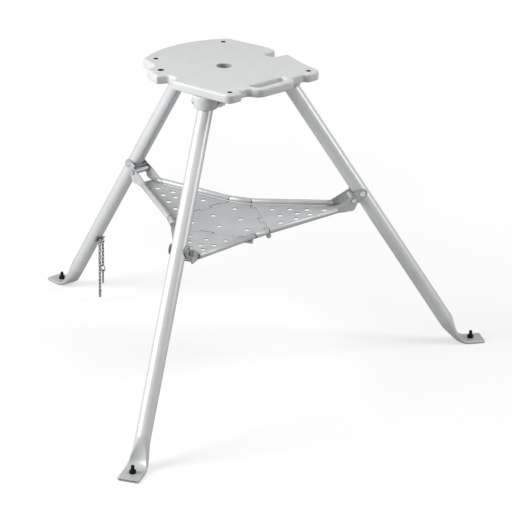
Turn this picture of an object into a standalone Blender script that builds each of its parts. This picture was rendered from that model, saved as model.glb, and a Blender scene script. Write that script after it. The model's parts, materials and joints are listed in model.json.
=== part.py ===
"""Folding three-legged stand for a pipe threading machine, standing on the floor at Z = 0.

A cast top plate carries three tube legs on bolts. A folding tray sheet with three leaves ties
the legs together half way down, and a chain with a locking pin hangs from the rear leg.
Sizes are in metres and angles in degrees. +Z is up and the plate's handle faces -Y.
"""
import math

import bmesh
import bpy
from mathutils import Matrix, Vector

# Fits between pieces
GAP = 0.0003               # pieces that touch
RUN = 0.0005               # beside pieces that turn
OVER = 0.002               # how far a cutter or a joined piece runs past the face it meets
STEP = 0.0002              # set-back of one face from its neighbour where pieces join

# Facets
TUBE_SIDES = 16            # a multiple of 4, so that flats face the pieces it meets
ROUND_SIDES = 14
SMALL_SIDES = 10
WIRE_SIDES = 6
ARC_ERROR = 0.0005         # largest distance of an outline's chord from its arc
SHARP_ANGLE = 35.0

# Stance
PLATE_TOP = 0.711          # the plate's upper face above the floor
LEGS = {"rear": 90.0, "front_left": 210.0, "front_right": 330.0}
LEG_SPLAY = 33.1           # legs from the vertical
PIVOT_RADIUS = 0.136       # leg bolts from the stand's axis
PIVOT_DROP = 0.039         # leg bolts below the plate's upper face

# Leg tubes, flattened and turned level at the foot
TUBE_RADIUS = 0.01685
TUBE_WALL = 0.0032
FOOT_SLIT = 0.0006         # inside the flattened end
FLATTEN_LENGTH = 0.085     # of the tube, down to the end of the bend
FLATTEN_STEPS = 8
FOOT_BEND = 0.038
FOOT_REACH = 0.0565        # heel to tip

# Foot bolts
FOOT_BOLT_BACK = 0.029     # bolt from the tip
FOOT_BOLT_RADIUS = 0.004
FOOT_BOLT_RISE = 0.0245    # bolt's end above the floor
FOOT_HEAD_RADIUS = 0.0072
FOOT_NUT_ACROSS = 0.013
FOOT_NUT_HEIGHT = 0.0065
CHAMFER = 0.001

# Top plate: a casting, hollow underneath
PLATE_DEPTH = 0.020
PLATE_SKIN = 0.008
PLATE_BEVEL = 0.005
BEVEL_STEPS = 2
BEVEL_ANGLE = 60.0         # edges sharper than this are rounded
WAIST_PAST = 0.028         # sides beside the notches, past the leg bolts' circle
FRONT_PAST = 0.021         # front and back lobes, past the leg bolts' circle
LOBE_ROUND = 0.017
LOBE_INSET = 0.003         # left front lobe inside the right one
SIDE_HOLLOW = (0.0105, -0.085, 0.40)    # right side between notch and lobe: past the circle, place, radius
HANDLE_MIDDLE = -0.004
HANDLE_HALF = 0.050
HANDLE_PAST = 0.011        # handle bar's front edge past the front lobes
HANDLE_BAR = 0.0155
HANDLE_ROUND = 0.022
HANDLE_FLARE_LEFT = 0.012  # the handle's shoulders past its bar
HANDLE_FLARE_RIGHT = 0.014
HANDLE_SLOT = 0.0245       # finger slot, front to back
SLOT_TAPER = 0.007
SLOT_ROUND = 0.009
SCALLOP_LEFT = 0.014       # edge between a front lobe and the handle, behind the lobe
SCALLOP_RIGHT = 0.010
SCALLOP_ROUND = 0.016
LOBE_LEFT = (0.097, 0.091)      # sides of the left scallop's step at the lobe
LOBE_RIGHT = (0.099, 0.093)
STEP_ROUND = (0.009, 0.008)
NOTCH_RIGHT = -0.001       # middle of the right notch
NOTCH_RIGHT_HALF = 0.0185
NOTCH_RIGHT_DEPTH = 0.040
NOTCH_LEFT = 0.019
NOTCH_LEFT_HALF = 0.014
NOTCH_LEFT_DEPTH = 0.024
NOTCH_LEFT_FLARE = (0.012, 0.006, 0.004)    # its lips: back, front, and front lip's set-back
NOTCH_ROUND = (0.8, 0.65)  # corner of the right and the left notch as a share of the half width
LIP_ROUND = 0.0065
SHOULDER = (0.048, 0.025)  # right side's bend and its radius
BACK_RIGHT = (0.005, 0.016, 0.016)      # corner past the circle both ways, and its radius
BACK_LEFT = (0.107, 0.009)
EAR_TOP = 0.043            # left ear's far edge, inside the leg bolts' circle
EAR_STEP = (0.121, 0.008, 0.010)
EAR_END = (0.014, 0.012)   # ear's corner past the circle, and its radius
BACK_FIT = 0.931           # the back edge's arc, as a share of the room beside its apex
BACK_APEX = (0.012, 0.086)      # beside the middle, and past the leg bolts' circle
HOLE_RADIUS = 0.005
HOLES = [(-1, 0.050, 1, 0.019), (1, 0.023, 1, 0.020), (1, 0.021, -1, 0.018), (-1, 0.020, -1, 0.018)]
EAR_HOLE = (0.006, 0.066)  # insets from the leg bolts' circle
EAR_HOLE_RADIUS = 0.0065
CENTRE_HOLE = (-0.0035, 0.005)
CENTRE_HOLE_RADIUS = 0.0165
POCKETS = [
    (-0.100, -0.032, -0.030, 0.050), (0.032, 0.100, -0.030, 0.050),
    (-0.075, -0.030, 0.058, 0.125), (0.030, 0.095, 0.058, 0.125),
    (-0.082, -0.004, -0.112, -0.038), (0.004, 0.082, -0.112, -0.038),
    (-0.024, 0.024, 0.030, 0.096),
]

# Hoods under the plate that hold the legs
HOOD_RADIUS = 0.0255
HOOD_STRETCH = 0.005       # the hood's round ends from the leg bolt
HOOD_DROP = 0.0115         # hood's rim below the leg bolt

# Leg bolts
LEG_BOLT_RADIUS = 0.005
LEG_BOLT_ACROSS = 0.016
LEG_HEAD_HEIGHT = 0.0064
LEG_NUT_HEIGHT = 0.008
LEG_BOLT_SPARE = 0.006     # thread past the nut

# Tray brackets on the legs
BRACKET_ALONG = 0.328      # bracket rivet below the leg bolt, along the leg
BARREL_INWARD = 0.025      # tray pivot from the leg's axis
BARREL_RADIUS = 0.0065
BRACKET_SHEET = 0.0025
BRACKET_HALF = 0.014       # half the bracket's web, along the leg
BRACKET_EYE = 0.0115       # rounding of the arms about the rivet
RIVET_RADIUS = 0.004
RIVET_HEAD_RADIUS = 0.0075
RIVET_HEAD = 0.00145

# Tray
SHEET = 0.0016
HINGE_APOTHEM = 0.0816     # hinge lines from the stand's axis
HINGE_HALF = 0.0947
HINGE_DROP = 0.0440757     # hinge pins below the tray pivots
HINGE_SPLIT = 0.0005       # sheet edges from the hinge line
LEAF_SLOPE = 3.5
LEAF_END_GAP = 0.018       # end of a leaf's sheet from the tray pivot
LEAF_NECK = 0.0178         # rims' line meets the ears this far from the sheet's end
RIM_IN = 0.008             # rolled rim inside the tray's edge line
RIM_OUT = 0.0045           # rolled rim outside the tray's edge line
RIM_HEIGHT = 0.0095        # rim above the sheet's underside
RIM_STEPS = 6
RIM_GAP = 0.0012           # rim ends from the hinge splits
RIM_END = 0.021            # rim's end from the end of a leaf's sheet
EAR_SHEET = 0.0025
EAR_FOOT = 0.035
EAR_ROUND = 0.0105
CHIN_ROUND = 0.011         # ear's lower corner
CHIN_BACK = 0.007          # lower corner from the tray pivot
PIVOT_RIVET_RADIUS = 0.0037
PIVOT_HEAD_RADIUS = 0.0062
PIVOT_HEAD = 0.002
PIVOT_HEAD_SIDE = 0.6      # head's straight side as a share of its height
PIVOT_HEAD_TOP = 0.75      # head's flat top as a share of its radius
TRAY_HOLE = 0.0064
LEAF_HOLES = [(0.039, 0.042), (0.039, -0.042), (0.047, 0.0), (0.078, 0.029), (0.078, -0.029),
              (0.088, 0.0), (0.114, 0.0145), (0.114, -0.0145), (0.151, 0.0)]
CENTRE_HOLES_OUT = 0.075   # holes towards the short sides, from the axis
CENTRE_HOLES_IN = 0.0375   # holes towards the leaves

# Tray hinges: curls of sheet under the tray, on long pins
CURL_RADIUS = 0.0052
PIN_RADIUS = 0.0025
CURL_CLEAR = 0.0007        # curl from the other sheet's underside
CURL_WEB = 0.003
CURL_WEB_LOW = 0.6         # web's lower edge as a share of the curl's radius
LEAF_CURL = (0.062, 0.092)      # from the middle of the hinge, both ways
CENTRE_CURL = (0.030, 0.0614)

# Chain and locking pin on the rear leg's inner side
EYE_ALONG = 0.598          # eye plate below the leg bolt, along the leg
EYE_PLATE = (0.026, 0.013, 0.002)
EYE_RADIUS = 0.005
EYE_WIRE = 0.0012
RUN_APART = 0.0048         # each run of chain from the leg's middle
LINK_WIRE = 0.001
LINK_INNER = 0.0093
LINK_WIDTH = 0.003
LINK_SIDES = 1
LINK_ARC = 4
SHORT_LINKS = 7
LONG_LINKS = 14
PULL_RING_RADIUS = 0.0076
PULL_RING_WIRE = 0.0012
LOCK_EYE_RADIUS = 0.0034
LOCK_EYE_WIRE = 0.0013
LOCK_PIN_RADIUS = 0.0022
LOCK_PIN_LENGTH = 0.029
END_BAR_RADIUS = 0.003
END_BAR_LENGTH = 0.013

SPLAY = math.radians(LEG_SPLAY)
SLOPE = math.radians(LEAF_SLOPE)
PIVOT_HEIGHT = PLATE_TOP - PIVOT_DROP
FOOT_HALF = TUBE_WALL + FOOT_SLIT / 2
FOOT_WIDTH = math.pi * (TUBE_RADIUS - FOOT_HALF) + 2 * FOOT_HALF
HEEL = (PIVOT_HEIGHT - FOOT_HALF) * math.tan(SPLAY)
TIP = HEEL + FOOT_REACH
TIP_RADIUS = PIVOT_RADIUS + TIP
AXIS_Y = -(TIP_RADIUS * (1 - math.sin(math.radians(30))) - FOOT_WIDTH / 2 * math.cos(math.radians(30))) / 2
SOCKET = (TUBE_RADIUS + GAP) / math.cos(SPLAY)
TUBE_HEAD = TUBE_RADIUS * math.tan(SPLAY) - RUN * 2
ARM_INNER = TUBE_RADIUS + GAP
ARM_OUTER = ARM_INNER + BRACKET_SHEET
RIVET_END = ARM_OUTER + GAP + RIVET_HEAD
EAR_INNER = RIVET_END + GAP
EAR_OUTER = EAR_INNER + EAR_SHEET
SHEET_LOW = CURL_RADIUS + CURL_CLEAR
SHEET_HIGH = SHEET_LOW + SHEET
SHEET_MIDDLE = SHEET_LOW + SHEET / 2
RIM_TOP = SHEET_LOW + RIM_HEIGHT
WAIST = PIVOT_RADIUS + WAIST_PAST
FRONT = PIVOT_RADIUS + FRONT_PAST
HANDLE_OUT = FRONT + HANDLE_PAST
BARREL_OUT = PIVOT_RADIUS + BRACKET_ALONG * math.sin(SPLAY) - BARREL_INWARD * math.cos(SPLAY)
BARREL_HEIGHT = PIVOT_HEIGHT - BRACKET_ALONG * math.cos(SPLAY) - BARREL_INWARD * math.sin(SPLAY)
HINGE_HEIGHT = BARREL_HEIGHT - HINGE_DROP

for old in list(bpy.data.objects):
    bpy.data.objects.remove(old)


def new_group(name):
    """Make a collection in the scene."""
    group = bpy.data.collections.new(name)
    bpy.context.scene.collection.children.link(group)
    return group


PARTS = new_group("stand_parts")
TOOLS = new_group("stand_tools")


def new_finish(name, colour, roughness, metallic):
    """Make a plain material from a linear colour, a roughness and a metallic value."""
    finish = bpy.data.materials.new(name)
    finish.use_nodes = True
    shader = finish.node_tree.nodes["Principled BSDF"]
    shader.inputs["Base Color"].default_value = (*colour, 1.0)
    shader.inputs["Roughness"].default_value = roughness
    shader.inputs["Metallic"].default_value = metallic
    return finish


CAST = new_finish("cast_plate", (0.62, 0.62, 0.63), 0.5, 0.6)
TUBE = new_finish("leg_tube", (0.55, 0.56, 0.57), 0.35, 0.7)
TRAY = new_finish("tray_sheet", (0.50, 0.51, 0.52), 0.4, 0.7)
ZINC = new_finish("zinc_fastener", (0.42, 0.42, 0.43), 0.35, 0.9)
BLACK = new_finish("black_fastener", (0.02, 0.02, 0.02), 0.5, 0.5)


def frame(name, parent, place, turn=(0.0, 0.0, 0.0)):
    """Add an empty that carries pieces: its place and turn are in its parent's frame."""
    empty = bpy.data.objects.new(name, None)
    PARTS.objects.link(empty)
    empty.parent = parent
    empty.location = place
    empty.rotation_euler = turn
    return empty


def to_mesh(name, bm):
    """Turn a bmesh into a mesh with outward faces, smooth except at its sharp edges."""
    bmesh.ops.recalc_face_normals(bm, faces=bm.faces)
    mesh = bpy.data.meshes.new(name)
    bm.to_mesh(mesh)
    bm.free()
    mesh.shade_smooth()
    mesh.set_sharp_from_angle(angle=math.radians(SHARP_ANGLE))
    return mesh


def piece(name, bm, finish, parent):
    """Add a sub-part."""
    part = bpy.data.objects.new(name, to_mesh(name, bm))
    part.data.materials.append(finish)
    PARTS.objects.link(part)
    part.parent = parent
    return part


def tool(name, bm, parent):
    """Add a hidden body that cuts or joins a sub-part."""
    body = bpy.data.objects.new(name, to_mesh(name, bm))
    TOOLS.objects.link(body)
    body.parent = parent
    body.hide_render = True
    body.display_type = "WIRE"
    return body


def combine(part, operation, *bodies):
    """Cut bodies from a sub-part, or join them to it."""
    for body in bodies:
        step = part.modifiers.new(body.name, "BOOLEAN")
        step.operation = operation
        step.solver = "EXACT"
        step.object = body


def add_box(bm, low, high):
    """Add a box between two corners."""
    low = Vector(low)
    high = Vector(high)
    size = Matrix.Diagonal((*(high - low), 1.0))
    bmesh.ops.create_cube(bm, size=1.0, matrix=Matrix.Translation((low + high) / 2) @ size)


def add_rod(bm, radius, start, end, sides=ROUND_SIDES, end_radius=None):
    """Add a cylinder, prism or cone between two points."""
    start = Vector(start)
    run = Vector(end) - start
    turn = run.to_track_quat("Z", "Y").to_matrix().to_4x4()
    bmesh.ops.create_cone(
        bm, cap_ends=True, segments=sides, radius1=radius,
        radius2=radius if end_radius is None else end_radius, depth=run.length,
        matrix=Matrix.Translation(start + run / 2) @ turn @ Matrix.Rotation(math.pi / sides, 4, "Z"))


def add_hull(bm, points):
    """Add the convex body round a set of points."""
    corners = [bm.verts.new(point) for point in points]
    made = bmesh.ops.convex_hull(bm, input=corners)
    inside = [item for item in made["geom_interior"] if isinstance(item, bmesh.types.BMVert)]
    bmesh.ops.delete(bm, geom=inside, context="VERTS")


def circle(x, y, radius, sides=SMALL_SIDES):
    """Points round a circle."""
    turns = [2 * math.pi * (k + 0.5) / sides for k in range(sides)]
    return [(x + radius * math.cos(a), y + radius * math.sin(a)) for a in turns]


def rounded(corners):
    """Closed outline through (x, y, radius) corners, each rounded to its radius."""
    points = []
    for i, (x, y, radius) in enumerate(corners):
        here = Vector((x, y))
        before = (Vector(corners[i - 1][:2]) - here).normalized()
        after = (Vector(corners[(i + 1) % len(corners)][:2]) - here).normalized()
        half = before.angle(after) / 2
        centre = here + (before + after).normalized() * radius / math.sin(half)
        start = here + before * radius / math.tan(half) - centre
        end = here + after * radius / math.tan(half) - centre
        sweep = math.atan2(start.cross(end), start.dot(end))
        steps = max(2, math.ceil(abs(sweep) / (2 * math.acos(1 - min(ARC_ERROR / radius, 0.3)))))
        for k in range(steps + 1):
            turn = Matrix.Rotation(sweep * k / steps, 2)
            points.append(tuple(centre + turn @ start))
    return points


def extruded(outline, low, high):
    """Body of a flat outline drawn up from low to high."""
    curve = bpy.data.curves.new("outline", "CURVE")
    curve.dimensions = "2D"
    curve.fill_mode = "BOTH"
    curve.extrude = (high - low) / 2
    spline = curve.splines.new("POLY")
    spline.points.add(len(outline) - 1)
    spline.use_cyclic_u = True
    for spot, (x, y) in zip(spline.points, outline):
        spot.co = (x, y, 0.0, 1.0)
    holder = bpy.data.objects.new("outline", curve)
    bpy.context.scene.collection.objects.link(holder)
    graph = bpy.context.evaluated_depsgraph_get()
    mesh = bpy.data.meshes.new_from_object(holder.evaluated_get(graph))
    bpy.data.objects.remove(holder)
    bm = bmesh.new()
    bm.from_mesh(mesh)
    bpy.data.meshes.remove(mesh)
    bmesh.ops.remove_doubles(bm, verts=bm.verts, dist=1e-6)
    bmesh.ops.translate(bm, verts=bm.verts, vec=(0.0, 0.0, (low + high) / 2))
    flat = [face for face in bm.faces if abs(face.normal.z) > 0.5]
    inner = {edge for face in flat for edge in face.edges if all(other in flat for other in edge.link_faces)}
    bmesh.ops.dissolve_edges(bm, edges=list(inner))
    return bm


def turned(name, profile, finish, parent, place, axis):
    """Add a lathe-turned sub-part: its (radius, height) profile runs along an axis from a place."""
    mesh = bpy.data.meshes.new(name)
    points = [(radius, 0.0, height) for radius, height in profile]
    mesh.from_pydata(points, [(k, k + 1) for k in range(len(points) - 1)], [])
    part = bpy.data.objects.new(name, mesh)
    part.data.materials.append(finish)
    PARTS.objects.link(part)
    part.parent = parent
    part.location = place
    part.rotation_mode = "QUATERNION"
    part.rotation_quaternion = Vector(axis).to_track_quat("Z", "Y")
    lathe = part.modifiers.new("lathe", "SCREW")
    lathe.steps = ROUND_SIDES
    lathe.render_steps = ROUND_SIDES
    lathe.use_merge_vertices = True
    lathe.merge_threshold = 1e-6
    lathe.use_normal_flip = True
    return part


def leg_spot(along, inward=0.0, across=0.0):
    """Point on or beside a leg in its own frame: X outward, Y across, Z up, from the leg bolt."""
    x = along * math.sin(SPLAY) - inward * math.cos(SPLAY)
    z = -along * math.cos(SPLAY) - inward * math.sin(SPLAY)
    return Vector((x, across, z))


def leg_stations():
    """Stations down a leg: the section's centre, its tilt and its half thickness."""
    turn = math.pi / 2 - SPLAY
    level = (PIVOT_HEIGHT - FOOT_HALF) / math.cos(SPLAY) - FOOT_BEND * math.tan(turn / 2)
    middle = leg_spot(level, -FOOT_BEND)
    stations = [(leg_spot(-TUBE_HEAD), SPLAY, TUBE_RADIUS)]
    for k in range(FLATTEN_STEPS + 1):
        part = k / FLATTEN_STEPS
        ease = part * part * (3 - 2 * part)
        half = TUBE_RADIUS + (FOOT_HALF - TUBE_RADIUS) * ease
        past = FOOT_BEND * turn - FLATTEN_LENGTH * (1 - part)
        tilt = SPLAY + max(past, 0.0) / FOOT_BEND
        centre = middle - FOOT_BEND * Vector((math.cos(tilt), 0.0, math.sin(tilt)))
        stations.append((centre if past > 0 else leg_spot(level + past), tilt, half))
    stations.append((Vector((TIP, 0.0, FOOT_HALF - PIVOT_HEIGHT)), math.pi / 2, FOOT_HALF))
    return stations


def section(bm, station, inset):
    """Ring of points round a tube that keeps its girth as it flattens."""
    centre, tilt, half = station
    flat = math.pi * (TUBE_RADIUS - half) / 2
    reach = (half - inset) / math.cos(math.pi / TUBE_SIDES)
    ring = []
    for k in range(TUBE_SIDES):
        angle = 2 * math.pi * (k + 0.5) / TUBE_SIDES
        across = reach * math.cos(angle) + math.copysign(flat, math.cos(angle))
        thick = reach * math.sin(angle)
        ring.append(bm.verts.new(centre + Vector((thick * math.cos(tilt), across, thick * math.sin(tilt)))))
    return ring


def join_rings(bm, one, other):
    """Skin between two rings of points."""
    for k in range(len(one)):
        after = (k + 1) % len(one)
        bm.faces.new((one[k], one[after], other[after], other[k]))


def build_leg(name, pivot):
    """A leg tube with its bolt, rivet and foot holes."""
    bm = bmesh.new()
    stations = leg_stations()
    outer = [section(bm, station, 0.0) for station in stations]
    inner = [section(bm, station, TUBE_WALL) for station in stations]
    for k in range(len(stations) - 1):
        join_rings(bm, outer[k], outer[k + 1])
        join_rings(bm, inner[k], inner[k + 1])
    join_rings(bm, outer[0], inner[0])
    join_rings(bm, outer[-1], inner[-1])
    leg = piece("leg_" + name, bm, TUBE, pivot)
    holes = bmesh.new()
    wide = Vector((0.0, TUBE_RADIUS + OVER, 0.0))
    add_rod(holes, LEG_BOLT_RADIUS + GAP, -wide, wide)
    rivet = leg_spot(BRACKET_ALONG)
    add_rod(holes, RIVET_RADIUS + GAP, rivet - wide, rivet + wide)
    foot = Vector((TIP - FOOT_BOLT_BACK, 0.0, -PIVOT_HEIGHT))
    add_rod(holes, FOOT_BOLT_RADIUS + GAP, foot + Vector((0, 0, -OVER)),
            foot + Vector((0, 0, 2 * FOOT_HALF + OVER)))
    combine(leg, "DIFFERENCE", tool("leg_holes_" + name, holes, pivot))
    sink = bmesh.new()
    deep = FOOT_HEAD_RADIUS - FOOT_BOLT_RADIUS
    add_rod(sink, FOOT_HEAD_RADIUS + GAP + OVER, foot + Vector((0, 0, -OVER + GAP)),
            foot + Vector((0, 0, deep + GAP)), ROUND_SIDES, FOOT_BOLT_RADIUS + GAP)
    combine(leg, "DIFFERENCE", tool("foot_sink_" + name, sink, pivot))
    return leg


def build_foot_bolt(name, pivot):
    """A countersunk bolt up through the foot, with its nut on top."""
    place = (TIP - FOOT_BOLT_BACK, 0.0, -PIVOT_HEIGHT)
    deep = FOOT_HEAD_RADIUS - FOOT_BOLT_RADIUS
    profile = [(0.0, GAP), (FOOT_HEAD_RADIUS - GAP, GAP), (FOOT_BOLT_RADIUS, deep),
               (FOOT_BOLT_RADIUS, FOOT_BOLT_RISE - CHAMFER),
               (FOOT_BOLT_RADIUS - CHAMFER, FOOT_BOLT_RISE), (0.0, FOOT_BOLT_RISE)]
    turned("foot_bolt_" + name, profile, BLACK, pivot, place, (0, 0, 1))
    seat = Vector(place) + Vector((0, 0, 2 * FOOT_HALF + GAP))
    build_nut("foot_nut_" + name, BLACK, pivot, seat, Vector((0, 0, 1)),
              FOOT_NUT_ACROSS, FOOT_NUT_HEIGHT, FOOT_BOLT_RADIUS)


def hex_radius(across):
    """Corner radius of a hexagon from its size across the flats."""
    return across / 2 / math.cos(math.radians(30))


def build_nut(name, finish, parent, seat, axis, across, height, bolt):
    """A hexagon nut on a seat, bored for its bolt."""
    body = bmesh.new()
    add_rod(body, hex_radius(across), seat, seat + axis * height, 6)
    nut = piece(name, body, finish, parent)
    bore = bmesh.new()
    add_rod(bore, bolt + GAP, seat - axis * OVER, seat + axis * (height + OVER))
    combine(nut, "DIFFERENCE", tool(name + "_bore", bore, parent))


def build_leg_bolt(name, pivot):
    """The bolt that a leg turns on, across its hood, with its nut."""
    cheek = HOOD_RADIUS + GAP
    across = Vector((0, 1, 0))
    head = bmesh.new()
    add_rod(head, hex_radius(LEG_BOLT_ACROSS), -across * cheek, -across * (cheek + LEG_HEAD_HEIGHT), 6)
    bolt = piece("leg_bolt_" + name, head, ZINC, pivot)
    shank = bmesh.new()
    end = cheek + LEG_NUT_HEIGHT + LEG_BOLT_SPARE
    add_rod(shank, LEG_BOLT_RADIUS, -across * (cheek + OVER), across * end)
    combine(bolt, "UNION", tool("leg_shank_" + name, shank, pivot))
    build_nut("leg_nut_" + name, ZINC, pivot, across * cheek, across,
              LEG_BOLT_ACROSS, LEG_NUT_HEIGHT, LEG_BOLT_RADIUS)


def plate_corners():
    """Corners of the plate's edge with their radii, from the front right lobe round to the left."""
    bar_left = HANDLE_MIDDLE - HANDLE_HALF
    bar_right = HANDLE_MIDDLE + HANDLE_HALF
    right = WAIST - NOTCH_RIGHT_DEPTH
    left = -WAIST + NOTCH_LEFT_DEPTH
    right_round = NOTCH_RIGHT_HALF * NOTCH_ROUND[0]
    left_round = NOTCH_LEFT_HALF * NOTCH_ROUND[1]
    lip_back, lip_front, lip_inset = NOTCH_LEFT_FLARE
    ear_top = PIVOT_RADIUS - EAR_TOP
    step_out, step_in = STEP_ROUND
    apex = Vector((BACK_APEX[0], PIVOT_RADIUS + BACK_APEX[1]))
    back_right = Vector((PIVOT_RADIUS + BACK_RIGHT[0], PIVOT_RADIUS + BACK_RIGHT[1]))
    back_left = Vector((-BACK_LEFT[0], FRONT))
    room = min((back_right - apex).length, (back_left - apex).length)
    back_arc = BACK_FIT * room * math.tan((back_right - apex).angle(back_left - apex) / 2)
    return [
        (PIVOT_RADIUS, -FRONT, LOBE_ROUND),
        (PIVOT_RADIUS + SIDE_HOLLOW[0], *SIDE_HOLLOW[1:]),
        (WAIST, NOTCH_RIGHT - NOTCH_RIGHT_HALF, LIP_ROUND),
        (right, NOTCH_RIGHT - NOTCH_RIGHT_HALF, right_round),
        (right, NOTCH_RIGHT + NOTCH_RIGHT_HALF, right_round),
        (WAIST, NOTCH_RIGHT + NOTCH_RIGHT_HALF, LIP_ROUND),
        (WAIST, *SHOULDER),
        (*back_right, BACK_RIGHT[2]),
        (*apex, back_arc),
        (*back_left, BACK_LEFT[1]),
        (-EAR_STEP[0], ear_top + EAR_STEP[1], EAR_STEP[2]),
        (-PIVOT_RADIUS - EAR_END[0], ear_top, EAR_END[1]),
        (-WAIST, NOTCH_LEFT + NOTCH_LEFT_HALF + lip_back, LIP_ROUND),
        (left, NOTCH_LEFT + NOTCH_LEFT_HALF, left_round),
        (left, NOTCH_LEFT - NOTCH_LEFT_HALF, left_round),
        (-WAIST + lip_inset, NOTCH_LEFT - NOTCH_LEFT_HALF - lip_front, LIP_ROUND),
        (-PIVOT_RADIUS + LOBE_INSET, -FRONT, LOBE_ROUND),
        (-LOBE_LEFT[0], -FRONT, step_out),
        (-LOBE_LEFT[1], -FRONT + SCALLOP_LEFT, step_in),
        (bar_left - HANDLE_FLARE_LEFT, -FRONT + SCALLOP_LEFT, SCALLOP_ROUND),
        (bar_left, -HANDLE_OUT, HANDLE_ROUND),
        (bar_right, -HANDLE_OUT, HANDLE_ROUND),
        (bar_right + HANDLE_FLARE_RIGHT, -FRONT + SCALLOP_RIGHT, SCALLOP_ROUND),
        (LOBE_RIGHT[1], -FRONT + SCALLOP_RIGHT, step_in),
        (LOBE_RIGHT[0], -FRONT, step_out),
    ]


def build_plate(stand, pivots):
    """The cast plate with its handle, holes, hollow underside and three leg hoods."""
    low = PLATE_TOP - PLATE_DEPTH
    plate = piece("top_plate", extruded(rounded(plate_corners()), low, PLATE_TOP), CAST, stand)
    edge = plate.modifiers.new("edge", "BEVEL")
    edge.width = PLATE_BEVEL
    edge.segments = BEVEL_STEPS
    edge.limit_method = "ANGLE"
    edge.angle_limit = math.radians(BEVEL_ANGLE)
    edge.use_clamp_overlap = False
    near = -HANDLE_OUT + HANDLE_BAR
    far = near + HANDLE_SLOT
    slot = rounded([
        (HANDLE_MIDDLE - HANDLE_HALF + SLOT_TAPER, near, SLOT_ROUND),
        (HANDLE_MIDDLE + HANDLE_HALF - SLOT_TAPER, near, SLOT_ROUND),
        (HANDLE_MIDDLE + HANDLE_HALF, far, SLOT_ROUND),
        (HANDLE_MIDDLE - HANDLE_HALF, far, SLOT_ROUND),
    ])
    depth = HOOD_DROP + OVER
    hood = [(x + side * HOOD_STRETCH, y) for side in (-1, 1)
            for x, y in circle(0.0, 0.0, HOOD_RADIUS, TUBE_SIDES)]
    crown = [math.pi * k / SMALL_SIDES for k in range(SMALL_SIDES + 1)]
    socket = [(SOCKET * math.cos(a), SOCKET * math.sin(a)) for a in crown]
    socket += [(-SOCKET, -depth), (SOCKET + depth * math.tan(SPLAY), -depth)]
    wide = TUBE_RADIUS + RUN
    reach = Vector((0.0, HOOD_RADIUS + OVER, 0.0))
    hoods = bmesh.new()
    sockets = bmesh.new()
    holes = bmesh.new()
    for pivot in pivots.values():
        place = pivot.matrix_basis
        rim = [(x, y, z) for x, y in hood for z in (-HOOD_DROP, PIVOT_DROP - PLATE_DEPTH + OVER)]
        add_hull(hoods, [place @ Vector(point) for point in rim])
        space = [(x, y, z) for x, z in socket for y in (-wide, wide)]
        add_hull(sockets, [place @ Vector(point) for point in space])
        add_rod(holes, LEG_BOLT_RADIUS + GAP, place @ -reach, place @ reach)
    hollows = bmesh.new()
    for x0, x1, y0, y1 in POCKETS:
        add_box(hollows, (x0, y0, low - OVER), (x1, y1, PLATE_TOP - PLATE_SKIN))
    round_holes = [(hand * (PIVOT_RADIUS - beside), way * (FRONT - inset), HOLE_RADIUS)
                   for hand, beside, way, inset in HOLES]
    round_holes.append((EAR_HOLE[0] - PIVOT_RADIUS, PIVOT_RADIUS - EAR_HOLE[1], EAR_HOLE_RADIUS))
    round_holes.append((*CENTRE_HOLE, CENTRE_HOLE_RADIUS))
    for x, y, radius in round_holes:
        add_rod(holes, radius, (x, y, low - OVER), (x, y, PLATE_TOP + OVER))
    combine(plate, "UNION", tool("leg_hoods", hoods, stand))
    combine(plate, "DIFFERENCE", tool("leg_sockets", sockets, stand), tool("pockets", hollows, stand),
            tool("plate_holes", holes, stand))
    grip = extruded(slot, low - OVER, PLATE_TOP + OVER)
    combine(plate, "DIFFERENCE", tool("handle_slot", grip, stand))


def build_bracket(name, pivot):
    """A channel bracket across a leg's inner side with a barrel for the tray pivot, and its rivet."""
    barrel = leg_spot(BRACKET_ALONG, BARREL_INWARD)
    web = [leg_spot(BRACKET_ALONG + side * BRACKET_HALF, inward)
           for side in (-1, 1) for inward in (ARM_INNER, ARM_OUTER)]
    back = [leg_spot(BRACKET_ALONG + side * (BRACKET_HALF - STEP), inward)
            for side in (-1, 1) for inward in (ARM_INNER + STEP, ARM_OUTER - STEP)]
    wide = ARM_OUTER - STEP
    body = bmesh.new()
    add_hull(body, [(p.x, y, p.z) for p in back for y in (-wide, wide)])
    bracket = piece("tray_bracket_" + name, body, ZINC, pivot)
    rivet = leg_spot(BRACKET_ALONG)
    eye = [Vector((x, 0.0, z)) for x, z in circle(rivet.x, rivet.z, BRACKET_EYE, ROUND_SIDES)]
    for side in (-1, 1):
        arm = bmesh.new()
        add_hull(arm, [(p.x, side * y, p.z) for p in web + eye for y in (ARM_INNER, ARM_OUTER)])
        combine(bracket, "UNION", tool("arm_%s_%d" % (name, side), arm, pivot))
    half = Vector((0.0, RIVET_END, 0.0))
    roll = bmesh.new()
    add_rod(roll, BARREL_RADIUS, barrel - half, barrel + half)
    combine(bracket, "UNION", tool("barrel_" + name, roll, pivot))
    bores = bmesh.new()
    reach = half + Vector((0.0, OVER, 0.0))
    add_rod(bores, RIVET_RADIUS + GAP, barrel - reach, barrel + reach)
    add_rod(bores, RIVET_RADIUS + GAP, rivet - reach, rivet + reach)
    combine(bracket, "DIFFERENCE", tool("bracket_bores_" + name, bores, pivot))
    head = ARM_OUTER + GAP
    profile = [(0.0, -RIVET_END), (RIVET_HEAD_RADIUS, -RIVET_END), (RIVET_HEAD_RADIUS, -head),
               (RIVET_RADIUS, -head), (RIVET_RADIUS, head), (RIVET_HEAD_RADIUS, head),
               (RIVET_HEAD_RADIUS, RIVET_END), (0.0, RIVET_END)]
    turned("bracket_rivet_" + name, profile, ZINC, pivot, rivet, (0, 1, 0))


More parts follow.
